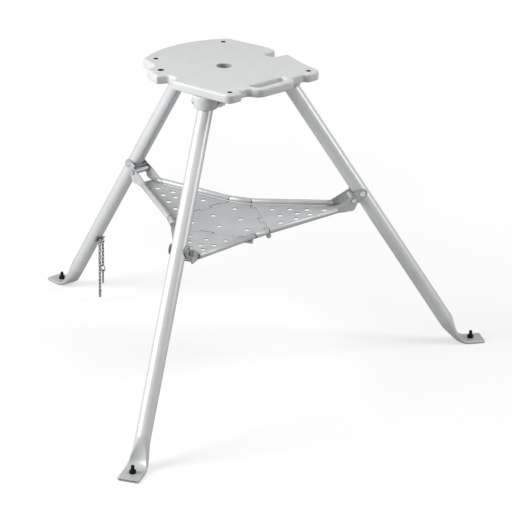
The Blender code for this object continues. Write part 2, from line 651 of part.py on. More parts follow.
def curl_bodies(bm, spans, side):
    """Curls of sheet round a hinge line, each with a web up to the sheet on its side."""
    for low, high in spans:
        add_rod(bm, CURL_RADIUS, (0.0, low, 0.0), (0.0, high, 0.0), SMALL_SIDES)
    webs = bmesh.new()
    edges = sorted((side * (HINGE_SPLIT + STEP), side * (HINGE_SPLIT + CURL_WEB)))
    for low, high in spans:
        add_box(webs, (edges[0], low + STEP, CURL_RADIUS * CURL_WEB_LOW),
                (edges[1], high - STEP, SHEET_MIDDLE - STEP))
    return webs


def curl_spans(span):
    """The two stretches of a hinge line, either side of its middle, that a pair of curls covers."""
    return [(-span[1], -span[0]), (span[0], span[1])]


def rim_profile():
    """Outline of a rolled rim's arch of sheet: outward and up, with its feet in the sheet's level."""
    middle = (RIM_OUT - RIM_IN) / 2
    wide = (RIM_OUT + RIM_IN) / 2
    tall = RIM_TOP - SHEET_MIDDLE
    turns = [math.pi * k / RIM_STEPS for k in range(RIM_STEPS + 1)]
    outer = [(middle - wide * math.cos(a), SHEET_MIDDLE + tall * math.sin(a)) for a in turns]
    wide -= SHEET
    tall -= SHEET
    inner = [(middle - wide * math.cos(a), SHEET_MIDDLE + tall * math.sin(a)) for a in turns]
    return outer + inner[::-1]


def add_rim(bm, spot, along, outward, cuts):
    """Add a rolled rim beside a line through a spot, cut off at planes given by a place and a normal."""
    rings = []
    for place, normal in cuts:
        ring = []
        for reach, height in rim_profile():
            foot = spot + outward * reach
            point = foot + along * ((place - foot).dot(normal) / along.dot(normal))
            ring.append(bm.verts.new((*point, height)))
        bm.faces.new(ring)
        rings.append(ring)
    join_rings(bm, *rings)


def punch(bm, spots):
    """Add cutters for the tray's round holes."""
    for x, y in spots:
        add_rod(bm, TRAY_HOLE, (x, y, SHEET_LOW - OVER), (x, y, SHEET_HIGH + OVER), SMALL_SIDES)


def build_leaf(name, leaf):
    """A tapered tray leaf: sheet with rolled rims, hinge curls, and two ears that hold the tray pivot."""
    barrel = Vector((BARREL_OUT - HINGE_APOTHEM, 0.0, BARREL_HEIGHT - HINGE_HEIGHT))
    barrel = Matrix.Rotation(SLOPE, 3, "Y") @ barrel
    end = barrel.x - LEAF_END_GAP
    neck = end - LEAF_NECK
    narrow = EAR_OUTER - STEP
    across = Vector((1.0, 0.0))
    edge = []
    rims = []
    for side in (-1, 1):
        spot = Vector((HINGE_SPLIT, side * HINGE_HALF))
        along = (Vector((neck, side * narrow)) - spot).normalized()
        outward = Vector((-along.y, along.x)) * side
        inner = spot - outward * (RIM_IN - SHEET / 2)
        hinge = inner + along * ((HINGE_SPLIT - inner.x) / along.x)
        waist = inner + along * ((side * narrow - inner.y) / along.y)
        corners = [tuple(hinge), tuple(waist), (end, side * narrow)]
        edge += corners if side < 0 else corners[::-1]
        lip = bmesh.new()
        add_rim(lip, spot, along, outward, [(Vector((HINGE_SPLIT + RIM_GAP, 0.0)), across),
                                            (Vector((end - RIM_END, 0.0)), across)])
        rims.append(tool("leaf_rim_%s_%d" % (name, side), lip, leaf))
    sheet = piece("tray_leaf_" + name, extruded(edge, SHEET_LOW, SHEET_HIGH), TRAY, leaf)
    combine(sheet, "UNION", *rims)
    back = end - EAR_FOOT
    inside = EAR_INNER + STEP
    way = bmesh.new()
    add_box(way, (back - OVER, -inside, SHEET_HIGH + STEP), (end + OVER, inside, RIM_TOP + OVER))
    combine(sheet, "DIFFERENCE", tool("barrel_way_" + name, way, leaf))
    form = [(back, SHEET_MIDDLE), (back, RIM_TOP - STEP)]
    form += circle(barrel.x - CHIN_BACK, SHEET_LOW + STEP + CHIN_ROUND, CHIN_ROUND, ROUND_SIDES)
    form += circle(barrel.x, barrel.z, EAR_ROUND, ROUND_SIDES)
    for side in (-1, 1):
        ear = bmesh.new()
        add_hull(ear, [(x, side * y, z) for x, z in form for y in (EAR_INNER, EAR_OUTER)])
        combine(sheet, "UNION", tool("leaf_ear_%s_%d" % (name, side), ear, leaf))
    curls = bmesh.new()
    webs = curl_bodies(curls, curl_spans(LEAF_CURL), 1)
    combine(sheet, "UNION", tool("leaf_webs_" + name, webs, leaf), tool("leaf_curls_" + name, curls, leaf))
    bores = bmesh.new()
    reach = Vector((0.0, HINGE_HALF + OVER, 0.0))
    add_rod(bores, PIN_RADIUS + GAP, -reach, reach, SMALL_SIDES)
    wide = Vector((0.0, EAR_OUTER + OVER, 0.0))
    add_rod(bores, PIVOT_RIVET_RADIUS + GAP, barrel - wide, barrel + wide, SMALL_SIDES)
    punch(bores, LEAF_HOLES)
    combine(sheet, "DIFFERENCE", tool("leaf_bores_" + name, bores, leaf))
    shank = EAR_SHEET - GAP / 2
    profile = [(0.0, 0.0), (PIVOT_RIVET_RADIUS, 0.0), (PIVOT_RIVET_RADIUS, shank + GAP),
               (PIVOT_HEAD_RADIUS, shank + GAP), (PIVOT_HEAD_RADIUS, shank + GAP + PIVOT_HEAD * PIVOT_HEAD_SIDE),
               (PIVOT_HEAD_RADIUS * PIVOT_HEAD_TOP, shank + GAP + PIVOT_HEAD), (0.0, shank + GAP + PIVOT_HEAD)]
    for side, hand in ((-1, "a"), (1, "b")):
        place = barrel + Vector((0.0, side * (EAR_INNER + GAP / 2), 0.0))
        turned("pivot_rivet_%s_%s" % (name, hand), profile, ZINC, leaf, place, (0, side, 0))


def build_centre(stand, hinges):
    """The flat middle of the tray with rolled rims on its short sides and curls on its long ones."""
    level = frame("tray_level", stand, (0.0, 0.0, HINGE_HEIGHT))
    third = math.radians(60)
    apart = HINGE_APOTHEM - HINGE_SPLIT
    inset = HINGE_HALF - (RIM_IN - SHEET / 2) / math.sin(third)
    corner = Vector((apart, HINGE_HALF))
    lips = bmesh.new()
    edge = []
    holes = []
    for azimuth in LEGS.values():
        turn = Matrix.Rotation(math.radians(azimuth), 2)
        edge += [tuple(turn @ Vector((apart, side * inset))) for side in (-1, 1)]
        holes += [turn @ Vector((x, 0.0)) for x in (CENTRE_HOLES_IN, -CENTRE_HOLES_OUT)]
        outward = turn @ Vector((math.cos(third), math.sin(third)))
        along = Vector((-outward.y, outward.x))
        cuts = []
        for hinge_turn in (0, 2 * third):
            normal = turn @ Matrix.Rotation(hinge_turn, 2) @ Vector((1.0, 0.0))
            cuts.append((normal * (apart - RIM_GAP), normal))
        add_rim(lips, turn @ corner, along, outward, cuts)
    sheet = piece("tray_centre", extruded(edge, SHEET_LOW, SHEET_HIGH), TRAY, level)
    combine(sheet, "UNION", tool("centre_rims", lips, level))
    bores = bmesh.new()
    punch(bores, holes)
    combine(sheet, "DIFFERENCE", tool("centre_holes", bores, level))
    for name, hinge in hinges.items():
        curls = bmesh.new()
        webs = curl_bodies(curls, curl_spans(CENTRE_CURL), -1)
        bores = bmesh.new()
        reach = Vector((0.0, HINGE_HALF + OVER, 0.0))
        add_rod(bores, PIN_RADIUS + GAP, -reach, reach, SMALL_SIDES)
        combine(sheet, "UNION", tool("centre_webs_" + name, webs, hinge),
                tool("centre_curls_" + name, curls, hinge))
        combine(sheet, "DIFFERENCE", tool("centre_bores_" + name, bores, hinge))
        pin = bmesh.new()
        ends = Vector((0.0, HINGE_HALF - OVER, 0.0))
        add_rod(pin, PIN_RADIUS, -ends, ends, SMALL_SIDES)
        piece("hinge_pin_" + name, pin, ZINC, hinge)


def add_ring(bm, radius, wire, place, turn):
    """Add a torus: its axis is Z turned by the given matrix."""
    bpy.ops.mesh.primitive_torus_add(
        major_radius=radius, minor_radius=wire, major_segments=ROUND_SIDES, minor_segments=WIRE_SIDES)
    ring = bpy.context.object
    ring.data.transform(Matrix.Translation(place) @ turn)
    bm.from_mesh(ring.data)
    bpy.data.objects.remove(ring)


def link_mesh():
    """An oval chain link of round wire, long way up, in the XZ plane."""
    round_radius = LINK_WIDTH / 2 + LINK_WIRE
    straight = LINK_INNER / 2 + LINK_WIRE - round_radius
    points = []
    for end in (1, -1):
        for k in range(LINK_ARC + 1):
            angle = math.pi * k / LINK_ARC
            points.append((end * round_radius * math.cos(angle), end * (straight + round_radius * math.sin(angle))))
    curve = bpy.data.curves.new("link", "CURVE")
    curve.dimensions = "3D"
    curve.bevel_depth = LINK_WIRE
    curve.bevel_resolution = LINK_SIDES
    spline = curve.splines.new("POLY")
    spline.points.add(len(points) - 1)
    spline.use_cyclic_u = True
    for spot, (x, z) in zip(spline.points, points):
        spot.co = (x, 0.0, z, 1.0)
    holder = bpy.data.objects.new("link", curve)
    bpy.context.scene.collection.objects.link(holder)
    graph = bpy.context.evaluated_depsgraph_get()
    mesh = bpy.data.meshes.new_from_object(holder.evaluated_get(graph))
    bpy.data.objects.remove(holder)
    bm = bmesh.new()
    bm.from_mesh(mesh)
    bpy.data.meshes.remove(mesh)
    bmesh.ops.remove_doubles(bm, verts=bm.verts, dist=1e-6)
    mesh = to_mesh("chain_link", bm)
    mesh.materials.append(ZINC)
    return mesh


def build_run(name, count, mesh, hang, across):
    """Hang a run of links from an eye, and return the height of its last wire and that link's turn."""
    wire = -EYE_RADIUS + EYE_WIRE + LINK_WIRE + GAP
    half = LINK_INNER / 2 + LINK_WIRE
    pitch = LINK_INNER - GAP
    for k in range(count):
        link = bpy.data.objects.new("chain_link_%s_%02d" % (name, k + 1), mesh)
        PARTS.objects.link(link)
        link.parent = hang
        link.location = (0.0, across, wire - half - pitch * k)
        link.rotation_euler = (0.0, 0.0, math.radians(90 * ((k + 1) % 2)))
    return wire - 2 * half - pitch * (count - 1), count % 2


def build_pin(name, hang, place, ring_turn, radius, length):
    """A pin with an eye at its head: the eye's top wire is at the given place."""
    body = bmesh.new()
    neck = place - Vector((0.0, 0.0, 2 * LOCK_EYE_RADIUS))
    add_rod(body, radius, neck + Vector((0, 0, LOCK_EYE_WIRE / 2)), neck - Vector((0, 0, length)), SMALL_SIDES)
    pin = piece(name, body, ZINC, hang)
    eye = bmesh.new()
    add_ring(eye, LOCK_EYE_RADIUS, LOCK_EYE_WIRE, place - Vector((0, 0, LOCK_EYE_RADIUS)), ring_turn)
    combine(pin, "UNION", tool(name + "_eye", eye, hang))


def build_chain(pivot):
    """Eye plate on the leg, two runs of chain, the pull ring with its locking pin, and the end bar."""
    surface = TUBE_RADIUS + GAP
    wide, tall, thick = EYE_PLATE
    inward = surface + thick + EYE_RADIUS - EYE_WIRE / 2
    corners = [leg_spot(EYE_ALONG + along * tall / 2, depth)
               for along in (-1, 1) for depth in (surface, surface + thick)]
    base = bmesh.new()
    add_hull(base, [(p.x, y, p.z) for p in corners for y in (-wide / 2, wide / 2)])
    plate = piece("chain_eye", base, ZINC, pivot)
    centre = leg_spot(EYE_ALONG, inward)
    across_axis = Matrix.Rotation(math.radians(90), 4, "X")
    outward_axis = Matrix.Rotation(math.radians(90), 4, "Y")
    for side in (-1, 1):
        eye = bmesh.new()
        add_ring(eye, EYE_RADIUS, EYE_WIRE, centre + Vector((0.0, side * RUN_APART, 0.0)), across_axis)
        combine(plate, "UNION", tool("chain_eye_ring_%d" % side, eye, pivot))
    hang = frame("chain_hang", pivot, centre)
    mesh = link_mesh()
    low, odd = build_run("short", SHORT_LINKS, mesh, hang, -RUN_APART)
    turns = (outward_axis, across_axis)
    lift = LINK_WIRE + PULL_RING_WIRE + GAP
    top = Vector((0.0, -RUN_APART, low + LINK_WIRE + lift))
    ring = bmesh.new()
    add_ring(ring, PULL_RING_RADIUS, PULL_RING_WIRE, top - Vector((0, 0, LINK_WIRE + PULL_RING_RADIUS)), turns[odd])
    piece("pull_ring", ring, ZINC, hang)
    lift = PULL_RING_WIRE + LOCK_EYE_WIRE + GAP
    place = top - Vector((0, 0, LINK_WIRE + 2 * PULL_RING_RADIUS - lift))
    build_pin("locking_pin", hang, place, turns[1 - odd], LOCK_PIN_RADIUS, LOCK_PIN_LENGTH)
    low, odd = build_run("long", LONG_LINKS, mesh, hang, RUN_APART)
    lift = LINK_WIRE + LOCK_EYE_WIRE + GAP
    place = Vector((0.0, RUN_APART, low + lift))
    build_pin("chain_end_bar", hang, place, turns[odd], END_BAR_RADIUS, END_BAR_LENGTH)


def main():
    """Build the stand."""
    stand = frame("stand_axis", None, (0.0, AXIS_Y, 0.0))
    pivots = {}
    hinges = {}
    for name, azimuth in LEGS.items():
        angle = math.radians(azimuth)
        out = Vector((math.cos(angle), math.sin(angle), 0.0))
        up = Vector((0.0, 0.0, 1.0))
        pivots[name] = frame("leg_pivot_" + name, stand, out * PIVOT_RADIUS + up * PIVOT_HEIGHT, (0.0, 0.0, angle))
        place = out * HINGE_APOTHEM + up * HINGE_HEIGHT
        hinges[name] = frame("tray_hinge_" + name, stand, place, (0.0, 0.0, angle))
    build_plate(stand, pivots)
    for name in LEGS:
        build_leg(name, pivots[name])
        build_foot_bolt(name, pivots[name])
        build_leg_bolt(name, pivots[name])
        build_bracket(name, pivots[name])
        leaf = frame("leaf_tilt_" + name, hinges[name], (0.0, 0.0, 0.0), (0.0, -SLOPE, 0.0))
        build_leaf(name, leaf)
    build_centre(stand, hinges)
    build_chain(pivots["rear"])
    bpy.context.view_layer.update()


main()
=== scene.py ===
"""Studio scene of a folding three-legged stand for a pipe threading machine.

The packed CAD model is the frame: every piece here rides on one of its bodies and stands for its
nodes. Sizes are in metres. +Z is up and the plate's handle faces -Y.
"""

import json
import math

import bmesh
import bpy
from bpy.props import FloatProperty, PointerProperty, StringProperty
from bpy.types import Operator, Panel, PropertyGroup
from mathutils import Matrix, Vector
from mathutils.geometry import convex_hull_2d


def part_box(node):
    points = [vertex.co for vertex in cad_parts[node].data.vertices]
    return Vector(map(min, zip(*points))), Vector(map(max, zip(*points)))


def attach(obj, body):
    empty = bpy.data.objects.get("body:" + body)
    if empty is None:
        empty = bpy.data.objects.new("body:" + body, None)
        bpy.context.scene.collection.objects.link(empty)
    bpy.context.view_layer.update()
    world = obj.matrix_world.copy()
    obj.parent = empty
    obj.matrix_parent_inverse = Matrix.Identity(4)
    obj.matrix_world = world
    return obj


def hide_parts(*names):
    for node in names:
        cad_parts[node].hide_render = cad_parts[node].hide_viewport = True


bl_info = {
    "name": "Threading Machine Stand",
    "version": (1, 0, 0),
    "blender": (4, 5, 0),
    "location": "3D View > Sidebar > Stand",
    "description": "Builds a folding stand with its tray and chain in a white studio",
    "category": "Object",
}

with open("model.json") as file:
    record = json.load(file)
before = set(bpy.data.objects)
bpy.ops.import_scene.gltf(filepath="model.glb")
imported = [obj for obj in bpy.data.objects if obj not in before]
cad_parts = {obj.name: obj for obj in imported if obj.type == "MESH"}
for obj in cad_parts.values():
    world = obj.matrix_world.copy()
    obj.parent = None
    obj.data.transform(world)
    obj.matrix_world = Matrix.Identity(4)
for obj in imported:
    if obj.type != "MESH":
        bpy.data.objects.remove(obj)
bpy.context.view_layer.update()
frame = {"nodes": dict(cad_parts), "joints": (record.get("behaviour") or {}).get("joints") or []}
JOINTS = {joint["name"]: Vector(joint["pos_m"]) for joint in frame["joints"] if "pos_m" in joint}
LEGS = ("rear", "front_left", "front_right")

# Facets and seats
TUBE_SIDES = 64
ROUND_SIDES = 32
WIRE_SIDES = 12
EDGE_STEPS = 4
FLATTEN_STEPS = 36
ROLL_STEPS = 24
CURL_STEPS = 20
HEX_STEPS = 6              # points on each side of a hexagon
ARC_ERROR = 0.00006        # largest distance of an outline's chord from its arc
ARC_COARSEST = 0.3         # the same as a share of a small radius
SHARP_ANGLE = math.radians(38)
MERGE = 0.00001            # points nearer than this are one
HOLD = 0.0008              # flat strip that keeps a rounded edge's shading off a flat face
SEAT = 0.0003              # between pieces that touch
LAP = 0.0002               # set-back of one face from its neighbour in the same piece

# Finish
EDGE_SHINE = 0.15          # low, so that paint stays dark where it is seen edge on
EDGE_TINT = "#6E6E6E"      # metal's mirror where it is seen edge on
PAINTED_EDGE_SHADE = (0.68, 0.75)        # painted edge shade, paint darkened where it is seen edge on: where that starts, and how far it goes
PAINTED_SHADE_AND_WEAR = "recess"          # face attribute: painted shade in bores, slits, gaps and on cut edges, and scuff wear on the feet
SHADE_AND_WEAR_TONE = "#3E3F40"    # dark tone of the painted shade and the painted edge shade, and of the scuffed feet
SHADE_AND_WEAR_DULL = 0.4          # roughness that the painted shade and the scuff wear add
PAINTED_SHADE = {"hole": 1.0, "centre_hole": 0.5, "punched": 0.8, "cut": 0.45, "rim_end": 0.9, "ear_end": 0.2,
        "head": 0.8}       # painted shade of each kind of place
SCUFF = (0.012, 0.075, 0.30)            # scuffed feet: worst up to here, none from here, and how much
NOISE_BAND = (0.3, 0.7)    # where most values of a noise lie
NOISE_SUM_BAND = (0.7, 1.3)             # the same for two noises added
BLOTCH_DETAIL = 5.0
GRAIN_DETAIL = 3.0
MIX_A, MIX_B, MIX_OUT = 6, 7, 2         # colour sockets of a Mix node


def number(label, note, value, unit="LENGTH"):
    """A number that a user may change, in metres unless it has another unit."""
    return FloatProperty(name=label, description=note, default=value, unit=unit, precision=4)


def angle(label, note, degrees):
    """An angle that a user may change."""
    return FloatProperty(name=label, description=note, default=math.radians(degrees), subtype="ANGLE")


def tone(label, note, code):
    """A colour that a user may change, as an sRGB hex code."""
    return StringProperty(name=label, description=note, default=code)


class StandPlate(PropertyGroup):
    """Cast top plate."""
    depth: number("Depth", "Upper face to the skirt's lower edge", 0.020)
    skin: number("Skin", "Thickness over the pockets", 0.008)
    edge: number("Edge", "Rounding of the upper edge", 0.0050)
    lower_edge: number("Lower Edge", "Rounding of the lower edge", 0.0030)
    slot_edge: number("Slot Edge", "Rounding of the handle slot", 0.0045)
    chamfer: number("Chamfer", "Chamfer of the holes", 0.0009)
    pocket_round: number("Pocket Corner", "Corner radius of the pockets", 0.009)
    pocket_draft: number("Pocket Draft", "How far a pocket's wall leans in", 0.0015)
    hood_radius: number("Hood", "Radius of the leg hoods", 0.0255)
    hood_stretch: number("Hood Stretch", "Hood's round ends from the leg bolt", 0.005)
    hood_drop: number("Hood Drop", "Hood's rim below the leg bolt", 0.0115)
    hood_lean: number("Hood Lean", "How much wider a hood is at its shoulder", 0.004)
    hood_edge: number("Hood Edge", "Rounding of the hood's rim", 0.0022)
    light: tone("Light", "Paint at its lightest", "#D6D7D7")
    dark: tone("Dark", "Paint at its darkest", "#CFD0D0")


class StandLeg(PropertyGroup):
    """Leg tubes."""
    splay: angle("Splay", "Legs from the vertical", 33.1)
    radius: number("Radius", "Tube's outer radius", 0.01685)
    wall: number("Wall", "Tube's wall", 0.0032)
    slit: number("Slit", "Gap inside the flattened end", 0.0006)
    flatten: number("Flatten", "Length of tube that flattens", 0.085)
    bend: number("Bend", "Radius of the bend at the foot", 0.038)
    scoop: number("Scoop", "Depth of the hollow pressed above the foot", 0.0085)
    tip_round: number("Tip Corner", "Corner radius of the foot", 0.0028)
    tip_edge: number("Tip Edge", "Rounding of the foot's end", 0.0009)
    light: tone("Light", "Enamel at its lightest", "#D6D7D8")
    dark: tone("Dark", "Enamel at its darkest", "#D0D2D3")


class StandTray(PropertyGroup):
    """Folding tray."""
    sheet: number("Sheet", "Sheet's thickness", 0.0016)
    rise: number("Rise", "Sheet's underside above the hinge pins", 0.0059)
    slope: angle("Slope", "Leaves above the level", 3.5)
    hinge_half: number("Hinge Half", "Half the length of a hinge", 0.0947)
    split: number("Split", "Gap between the sheets at a hinge", 0.0020)
    curl: number("Curl", "Outer radius of the hinge curls", 0.0052)
    hole: number("Hole", "Radius of the round holes", 0.0064)
    rim_in: number("Rim In", "Rolled rim inside the tray's edge line", 0.008)
    rim_radius: number("Rim Radius", "Outer radius of the rolled rim", 0.0066)
    rim_gap: number("Rim Gap", "Gap under the rolled rim's inner edge", 0.0012)
    end_gap: number("End Gap", "End of a leaf's sheet from the tray pivot", 0.018)
    ear_inner: number("Ear Inner", "Inner face of the ears from the middle", 0.0217)
    ear_outer: number("Ear Outer", "Outer face of the ears from the middle", 0.0242)
    ear_round: number("Ear Round", "Rounding of the ears about the pivot", 0.0105)
    ear_edge: number("Ear Edge", "Rounding of the ears' edges", 0.0006)
    light: tone("Light", "Enamel at its lightest", "#C6C8C9")
    dark: tone("Dark", "Enamel at its darkest", "#B9BBBC")


class StandFixing(PropertyGroup):
    """Brackets, bolts and rivets."""
    bracket_along: number("Bracket", "Bracket rivet below the leg bolt, along the leg", 0.328)
    barrel_inward: number("Barrel", "Tray pivot from the leg's axis", 0.025)
    barrel_radius: number("Barrel Radius", "Outer radius of the bracket's barrel", 0.0065)
    barrel_bore: number("Barrel Bore", "Inner radius of the bracket's barrel", 0.0043)
    arm_inner: number("Arm Inner", "Bracket's inner face from the leg's axis", 0.01715)
    arm_outer: number("Arm Outer", "Bracket's outer face from the leg's axis", 0.01965)
    arm_eye: number("Arm Eye", "Rounding of the bracket about its rivet", 0.0115)
    web_half: number("Web Half", "Half the bracket's web, along the leg", 0.014)
    edge: number("Edge", "Rounding of the bracket's edges", 0.0007)
    rivet_head: number("Rivet Head", "Radius of the bracket rivets' heads", 0.0075)
    ear_head: number("Ear Rivet Head", "Radius of the ear rivets' heads", 0.0062)
    leg_bolt: number("Leg Bolt", "Radius of the leg bolts", 0.005)
    leg_across: number("Leg Nut", "Leg nuts and heads across the flats", 0.016)
    foot_bolt: number("Foot Bolt", "Radius of the foot bolts", 0.004)
    foot_across: number("Foot Nut", "Foot nuts across the flats", 0.013)
    pitch: number("Pitch", "Pitch of the threads, drawn coarse so that it shows", 0.0014)
    zinc_light: tone("Zinc Light", "Zinc plate at its lightest", "#D6D8DA")
    zinc_dark: tone("Zinc Dark", "Zinc plate at its darkest", "#A6A9AC")
    black_light: tone("Black Light", "Black oxide at its lightest", "#2A2B2C")
    black_dark: tone("Black Dark", "Black oxide at its darkest", "#111112")


class StandChain(PropertyGroup):
    """Chain and locking pin."""
    wire: number("Wire", "Radius of a link's wire", 0.00115)
    width: number("Width", "Link's width at the middle of its wire", 0.0050)
    length: number("Length", "Link's length at the middle of its wire", 0.0116)
    ring_wire: number("Ring Wire", "Radius of the pull ring's and the eyes' wire", 0.0012)
    eye_wire: number("Pin Eye Wire", "Radius of the pins' eye wire", 0.0013)
    eye_radius: number("Pin Eye", "Radius of the pins' eyes", 0.0034)
    pin_radius: number("Pin", "Radius of the locking pin", 0.0022)
    bar_radius: number("Bar", "Radius of the end bar", 0.003)
    light: tone("Light", "Chain's zinc at its lightest", "#9DA0A3")
    dark: tone("Dark", "Chain's zinc at its darkest", "#55585B")


class StandStage(PropertyGroup):
    """Camera, lamps and floor."""
    azimuth: angle("Azimuth", "Camera round the stand", -43.08)
    elevation: angle("Elevation", "Camera above the horizon", 22.678)
    roll: angle("Roll", "Turn of the picture", 1.16)
    distance: number("Distance", "Camera from its aim", 5.1006)
    lens: number("Lens", "Focal length in millimetres", 158.13, "CAMERA")
    aim_right: number("Aim Right", "Aim beside the stand's axis", 0.0726)
    aim_height: number("Aim Height", "Aim above the floor", 0.2611)
    key_power: number("Key", "Power of the lamp on the left", 90.0, "POWER")
    top_power: number("Top", "Power of the lamp overhead", 9.0, "POWER")
    strip_power: number("Strip", "Power of the low lamp on the right", 24.0, "POWER")
    side_power: number("Side", "Power of the lamp on the right", 36.0, "POWER")
    fill: number("Fill", "Strength of the light from all round", 0.18, "NONE")
    near_lift: number("Near Lift", "White added to the floor at the stand, as seen", 0.63, "NONE")
    far_lift: number("Far Lift", "White added to the floor far off, as seen", 0.88, "NONE")
    floor_size: number("Floor", "Width of the floor", 60.0)
    floor_light: tone("Floor Light", "Paper at its lightest", "#A6A6A6")
    floor_dark: tone("Floor Dark", "Paper at its darkest", "#A2A2A1")


# Plate outline, about the stand's axis: the leg bolts' circle and what stands past it
WAIST_PAST = 0.028         # sides beside the notches
FRONT_PAST = 0.021         # front and back lobes
LOBE_ROUND = 0.017
LOBE_INSET = 0.003         # left front lobe inside the right one
SIDE_HOLLOW = (0.0105, -0.085, 0.40)    # right side from notch to lobe: past the circle, place, radius
HANDLE_MIDDLE = -0.004
HANDLE_HALF = 0.050
HANDLE_PAST = 0.011        # handle bar past the front lobes
HANDLE_BAR = 0.0155
HANDLE_ROUND = 0.022
HANDLE_FLARE = (0.012, 0.014)           # the handle's left and right shoulder past its bar
HANDLE_SLOT = 0.0245
SLOT_TAPER = 0.007
SLOT_ROUND = 0.009
SCALLOP = (0.014, 0.010)   # edge between a front lobe and the handle, behind the lobe
SCALLOP_ROUND = 0.016
LOBE_LEFT = (0.097, 0.091)
LOBE_RIGHT = (0.099, 0.093)
STEP_ROUND = (0.009, 0.008)
NOTCH_RIGHT = (-0.001, 0.0185, 0.040)   # middle, half width, depth
NOTCH_LEFT = (0.019, 0.014, 0.024)
NOTCH_FLARE = (0.012, 0.006, 0.004)     # left notch's lips: back, front, and front lip's set-back
NOTCH_ROUND = (0.8, 0.65)  # corner of the right and the left notch as a share of the half width
LIP_ROUND = 0.0065
SHOULDER = (0.048, 0.025)  # right side's bend and its radius
BACK_RIGHT = (0.005, 0.016, 0.016)      # corner past the circle both ways, and its radius
BACK_LEFT = (0.107, 0.009)
EAR_TOP = 0.043            # left ear's far edge, inside the circle
EAR_STEP = (0.121, 0.008, 0.010)
EAR_END = (0.014, 0.012)   # ear's corner past the circle, and its radius
BACK_FIT = 0.931           # the back edge's arc, as a share of the room beside its apex
BACK_APEX = (0.012, 0.086)
ROUND_HOLES = [(-0.086, 0.138, 0.005), (0.113, 0.137, 0.005), (0.115, -0.139, 0.005),
               (-0.116, -0.139, 0.005), (-0.130, 0.070, 0.0065), (-0.0035, 0.005, 0.0165)]
POCKETS = [
    (-0.100, -0.032, -0.030, 0.050), (0.032, 0.100, -0.030, 0.050),
    (-0.075, -0.030, 0.058, 0.125), (0.030, 0.095, 0.058, 0.125),
    (-0.082, -0.004, -0.112, -0.038), (0.004, 0.082, -0.112, -0.038),
    (-0.024, 0.024, 0.030, 0.096),
]
POCKET_SOFT = 2.0          # rounding of a pocket's ceiling, in drafts
HOOD_PLAY = 0.00048        # between a leg's sides and its hood
HOOD_CEILING = (20, 40, 55, 64)         # degrees up the hood's round ceiling

# Legs
BORE_SHOWN = 0.03          # depth of the tube's open head
SLIT_SHOWN = 0.012         # depth of the slit at the tip
HEAD_SET = 0.001           # head below the corner of a square-cut tube
MOUTH_ROUND = 0.25         # rounding of the head's cut end as a share of the wall
SCOOP_POWER = 0.8          # below 1, the pressed hollow is fuller

# Bolts and rivets
HEX_LAND = 0.94            # flat of a hexagon as a share of its width across the flats
HEX_SLOPE = math.tan(math.radians(30))
NUT_CHAMFER = 0.0006
THREAD_DEPTH = 0.45        # as a share of the pitch
THREAD_STEPS = 6           # rings to a turn
LEG_HEAD = 0.0064
LEG_NUT = 0.008
LEG_SPARE = 0.006          # thread past the nut
LEG_THREAD = 0.004         # thread inside the hood
FOOT_HEAD = 0.0069         # radius of the countersunk head
FOOT_HEAD_EDGE = 0.0004
FOOT_LAP = 0.001           # shank inside the head, and plain shank inside the nut
RIVET_SHANK = 0.004
RIVET_DOME = (0, 15, 30, 45, 60, 75, 85)
RIVET_SHADE_BANDS = ((4, 2), (9, 2))          # painted shade bands at the edge of each head: the first, and how many
BRACKET_CORNER = 1.4       # bracket's corners in roundings of its edges
WEB_SET = (0.0002, 0.0001, 0.0004)      # bracket's web inside its arms: inner face, outer face, ends
EAR_SHANK = 0.0037
EAR_HEAD_TALL = 0.002
EAR_HEAD_EDGE = 0.0006
EAR_SHADE_BANDS = ((2, 6), (9, 1))            # painted shade bands at the head's edge and at the dimple's rim
EAR_DIMPLE = (0.62, 0.5, 0.0005)        # dimple's rim and floor as shares of the head, and its depth
EAR_MIDDLE = 0.0008        # flat at the dimple's middle

# Tray pattern: holes in a leaf's and the centre's own frame, and the hinge's interlocking tabs
LEAF_HOLES = [(0.039, 0.042), (0.039, -0.042), (0.047, 0.0), (0.078, 0.029), (0.078, -0.029),
              (0.088, 0.0), (0.114, 0.0145), (0.114, -0.0145), (0.151, 0.0)]
CENTRE_HOLES = (0.0375, -0.075)
TAB_ENDS = (0.080, 0.0617, 0.0, -0.030, -0.0617, -0.080)
LEAF_CURLS = ((0.0627, 0.079), (-0.029, -0.001), (-0.079, -0.0627))
CENTRE_CURLS = ((0.001, 0.0607), (-0.0607, -0.031))
END_CURLS = ((0.081, 0.092), (-0.092, -0.081))
CURL_BEND = 0.0022
CURL_SET = 0.00005         # curl's tab below the middle of its sheet
CURL_TAB = 0.2             # tab past the hinge line as a share of the curl
CURL_SWEEP = (180, 455)
RIM_LIP = 0.0011           # turned-in end of a rolled rim
RIM_CUT = 0.0004           # rim's end from the hinge line
RIM_END = 0.021            # rim's other end from the end of a leaf's sheet
LEAF_NECK = 0.0178         # rims' line meets the ears this far from the sheet's end
EAR_FOOT = 0.035
EAR_FOOT_TALL = 0.0093
CHIN = (0.007, 0.0112, 0.011)           # ear's lower corner: from the pivot, above the sheet, radius
HINGE_PIN = 0.0025
HINGE_PIN_END = (0.002, 0.0012)         # pin's end from the hinge's, and its dome
HINGE_PIN_DOME = (0, 25, 50, 75)

# Chain
LOCK_DOME = (75, 60, 45, 30, 15, 0)
LOCK_GROOVE = ((0.006, 1.0), (0.0064, 0.8), (0.0074, 0.8), (0.0078, 1.0))   # from the tip, of the radius
LOCK_NECK = (0.0005, 0.8)  # neck's half height, and its share of the radius
EYE_PLATE = (0.0065, 0.013, 0.002)      # half height, half width, thickness
EYE_CORNER = 0.003
EYE_EDGE = 0.0005
EYE_STUD = ((0.0022, -0.0003), (0.002, 0.0005), (0.0012, 0.0009))           # radius, above the plate
EYE_STUD_IN = 0.003        # studs from the plate's ends
EYE_APART = 0.0048         # eyes from the leg's middle
EYE_RING = 0.005
LINK_CORNER = 0.49         # corner of a link as a share of its width
LINK_STEPS = 7

